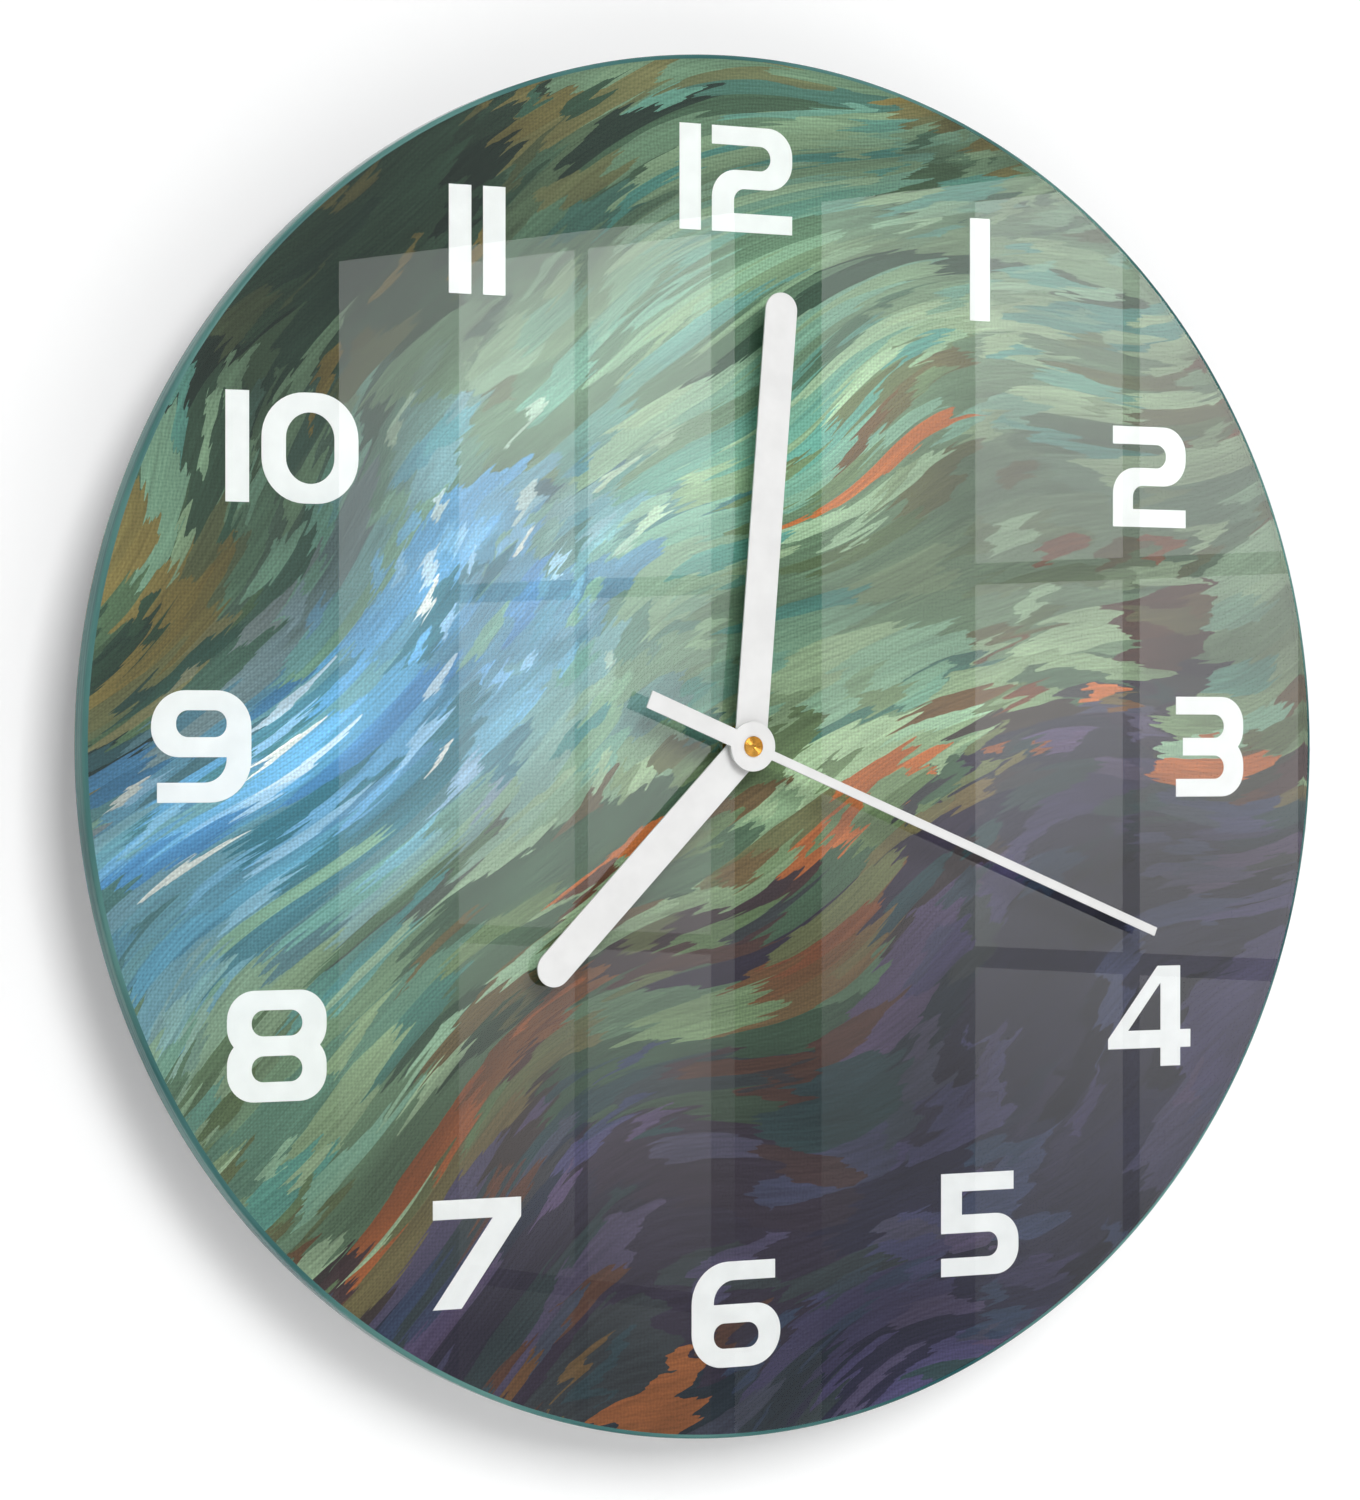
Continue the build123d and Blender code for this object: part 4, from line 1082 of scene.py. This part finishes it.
@dataclass(frozen=True)
class PaleStage(Finish):
    """Matt white paint that shows as white paper and keeps the soft shadow of the clock."""

    colour: str = "#FAFAFA"
    far_colour: str = "#D0D0D0"
    fade: Pair = (0.7, 2.4)
    lift: float = 0.1
    one_sided: bool = True

    def draw(self) -> None:
        """Diffuse white with a small lift, greying smoothly from the near to the far distance.

        A one-sided wall can be looked and lit through from behind.
        """
        away = self.vector("LENGTH", self.vector("MULTIPLY", self.place, (1.0, 1.0, 0.0)))
        share = self.remap(away, self.fade, UNIT, "SMOOTHSTEP")
        colour = self.blend(share, linear(self.colour), linear(self.far_colour))
        seen = self.ray("Camera")
        for kind in ("Glossy", "Transmission"):
            seen = self.scalar("MAXIMUM", seen, self.ray(kind))
        paint = self.add("BsdfDiffuse", {"Color": colour})[0]
        glow = self.add("Emission", {"Strength": self.scalar("MULTIPLY", seen, self.lift)})[0]
        surface = self.add("AddShader", {0: paint, 1: glow})[0]
        if self.one_sided:
            self.show_through(self.scalar("MAXIMUM", self.behind(), self.ray("Shadow")), surface)
        else:
            self.show(surface)


@dataclass(frozen=True)
class LightCard(Finish):
    """Glowing card of the studio, seen only as a mirror image in the glass."""

    level: float = 1.0
    low_share: float = 0.04
    fade: Pair = (-0.5, 0.25)

    def draw(self) -> None:
        """Emission that fades downwards and is never picked as a lamp."""
        levels = (self.low_share * self.level, self.level)
        level = self.remap(self.coordinate(self.place, "Z"), self.fade, levels)
        self.show(self.add("Emission", {"Strength": level})[0])
        self.material.cycles.emission_sampling = "NONE"


@dataclass(frozen=True)
class Lamp:
    """One square softbox aimed at the dial."""

    name: str
    place: Triple
    size: float
    power: float


@dataclass
class Studio:
    """White wall, pale floor, soft lamps, mirrored cards and the camera of the photograph."""

    wall_width: float = 3.0
    wall_height: float = 2.2
    floor_drop: float = 0.6
    floor_depth: float = 3.0
    world_level: float = 0.3
    lens_px: float = 4337.0
    image_width: int = 1360
    image_height: int = 1500
    axis_px: Pair = (731.4, 748.2)
    turn: float = 27.71
    distance: float = 941.3
    offset: Pair = (2.47, 0.35)
    sensor: float = 36.0
    near_clip: float = 0.01
    lamps: tuple[Lamp, ...] = (
        Lamp("key_softbox", (-0.1, -1.85, 0.9), 1.0, 25.7),
        Lamp("fill_softbox", (1.7, -1.1, 0.5), 1.2, 3.0),
        Lamp("back_softbox", (0.6, 1.7, 0.8), 1.2, 24.0),
    )
    card_distance: float = 2.3
    card_yaw: float = 45.0
    card_lefts: Pair = (-0.46, 0.09)
    card_width: float = 0.46
    card_heights: Pair = (-0.75, 0.40)
    card_levels: Pair = (2.4, 4.6)
    pane_counts: Counts = (2, 4)
    pane_start: Pair = (0.15, -0.68)
    pane_pitch: Pair = (0.15, 0.27)
    pane_size: Pair = (0.135, 0.255)
    pane_lift: float = 0.01

    @property
    def centre(self) -> Vector:
        """Middle of the dial's front."""
        low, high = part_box("glass_dial")
        return Vector((0.0, low.y, (low.z + high.z) / 2))

    def build(self) -> None:
        """Set up the stage, the lamps, the cards and the camera."""
        self.stage()
        for lamp in self.lamps:
            self.softbox(lamp)
        self.cards()
        self.camera()
        self.room()
        bpy.context.scene.view_settings.view_transform = "Standard"

    def room(self) -> None:
        """Even white light from all round."""
        world = bpy.data.worlds.new("soft_room")
        world.use_nodes = True
        sky = world.node_tree.nodes["Background"]
        sky.inputs["Color"].default_value = WHITE
        sky.inputs["Strength"].default_value = self.world_level
        bpy.context.scene.world = world

    def sheet(self, name: str, corners: np.ndarray, finish: Finish) -> bpy.types.Object:
        """Flat stage pieces with four corners each.

        Args:
            name: Name of the stage object.
            corners: Four corners of each sheet.
            finish: Finish of the sheets.

        Returns:
            The stage object.
        """
        mesh = bpy.data.meshes.new(name)
        faces = np.arange(len(corners) * 4).reshape(-1, 4)
        mesh.from_pydata(corners.reshape(-1, 3).tolist(), [], faces.tolist())
        mesh.materials.append(finish.drawn)
        sheet = add_object(name, mesh)
        return sheet

    def stage(self) -> None:
        """Wall behind the pads and floor well below the dial."""
        wall = CAD_BOX[1][1]
        half = self.wall_width / 2
        floor = self.centre.z - self.floor_drop
        top = floor + self.wall_height
        front = wall - self.floor_depth
        behind = wall + self.floor_depth / 2
        side = self.floor_depth
        upright = [(-half, wall, floor), (half, wall, floor), (half, wall, top), (-half, wall, top)]
        flat = ((-side, front), (side, front), (side, behind), (-side, behind))
        level = [(x, y, floor) for x, y in flat]
        self.sheet("white_wall", np.array([upright]), PaleStage("matt_white_wall"))
        self.sheet("pale_floor", np.array([level]), PaleStage("matt_pale_floor", one_sided=False))

    def softbox(self, lamp: Lamp) -> None:
        """Area lamp aimed at the dial's middle.

        Args:
            lamp: Place, size and power of the lamp.
        """
        data = bpy.data.lights.new(lamp.name, "AREA")
        data.shape = "SQUARE"
        data.size = lamp.size
        data.energy = lamp.power
        light = add_object(lamp.name, data)
        light.location = self.centre + Vector(lamp.place)
        light.rotation_euler = (-Vector(lamp.place)).to_track_quat("-Z", "Y").to_euler()
        light.visible_camera = False

    def cards(self) -> None:
        """Two tall panelled cards to the right, where the glass mirrors them towards the camera."""
        ahead, yaw = math.radians(self.turn), math.radians(self.card_yaw)
        out = np.array([math.sin(ahead), -math.cos(ahead), 0.0])
        right = np.array([math.cos(ahead), math.sin(ahead), 0.0])
        across = right * math.cos(yaw) - out * math.sin(yaw)
        up = np.array([0.0, 0.0, 1.0])
        middle = np.array(self.centre) + out * self.card_distance
        dim, bright = [], []
        for left in self.card_lefts:
            dim.append((left, left + self.card_width, *self.card_heights))
            for column, row in np.ndindex(*self.pane_counts):
                start = left + self.pane_start[0] + column * self.pane_pitch[0]
                foot = self.pane_start[1] + row * self.pane_pitch[1]
                bright.append((start, start + self.pane_size[0], foot, foot + self.pane_size[1]))
        dim_level, bright_level = self.card_levels
        for name, boxes, lift, level in (
            ("dim_cards", dim, 0.0, dim_level),
            ("bright_cards", bright, self.pane_lift, bright_level),
        ):
            spans = np.array(boxes)
            side = spans[:, [0, 1, 1, 0]][..., None] * across
            rise = spans[:, [2, 2, 3, 3]][..., None] * up
            card = self.sheet(name, middle - out * lift + side + rise, LightCard(name, level))
            card.visible_camera = card.visible_diffuse = card.visible_shadow = False

    def camera(self) -> None:
        """Camera of the photograph, level with the dial and to its left."""
        data = bpy.data.cameras.new("photo_camera")
        data.sensor_fit = "VERTICAL"
        data.sensor_height = self.sensor
        data.lens = self.sensor * self.lens_px / self.image_height
        data.shift_x = (self.image_width / 2 - self.axis_px[0]) / self.image_height
        data.shift_y = (self.axis_px[1] - self.image_height / 2) / self.image_height
        data.clip_start = self.near_clip
        turn = math.radians(self.turn)
        view = Vector((math.sin(turn), math.cos(turn), 0.0))
        right = Vector((math.cos(turn), -math.sin(turn), 0.0))
        up = Vector((0.0, 0.0, 1.0))
        back = view * self.distance + right * self.offset[0] + up * self.offset[1]
        camera = add_object("photo_camera", data)
        camera.location = self.centre - back * MM
        camera.rotation_euler = (math.pi / 2, 0.0, -turn)
        bpy.context.scene.camera = camera


def main() -> None:
    """Build the clock's sub-assemblies in order, then the studio round it."""
    logging.basicConfig(level=logging.INFO, format="%(name)s: %(message)s")
    for assembly in (Dial(), Hands(), Movement(), Power(), Hanging(), Studio()):
        LOG.info("%s", type(assembly).__name__)
        assembly.build()


if __name__ == "__main__":
    main()
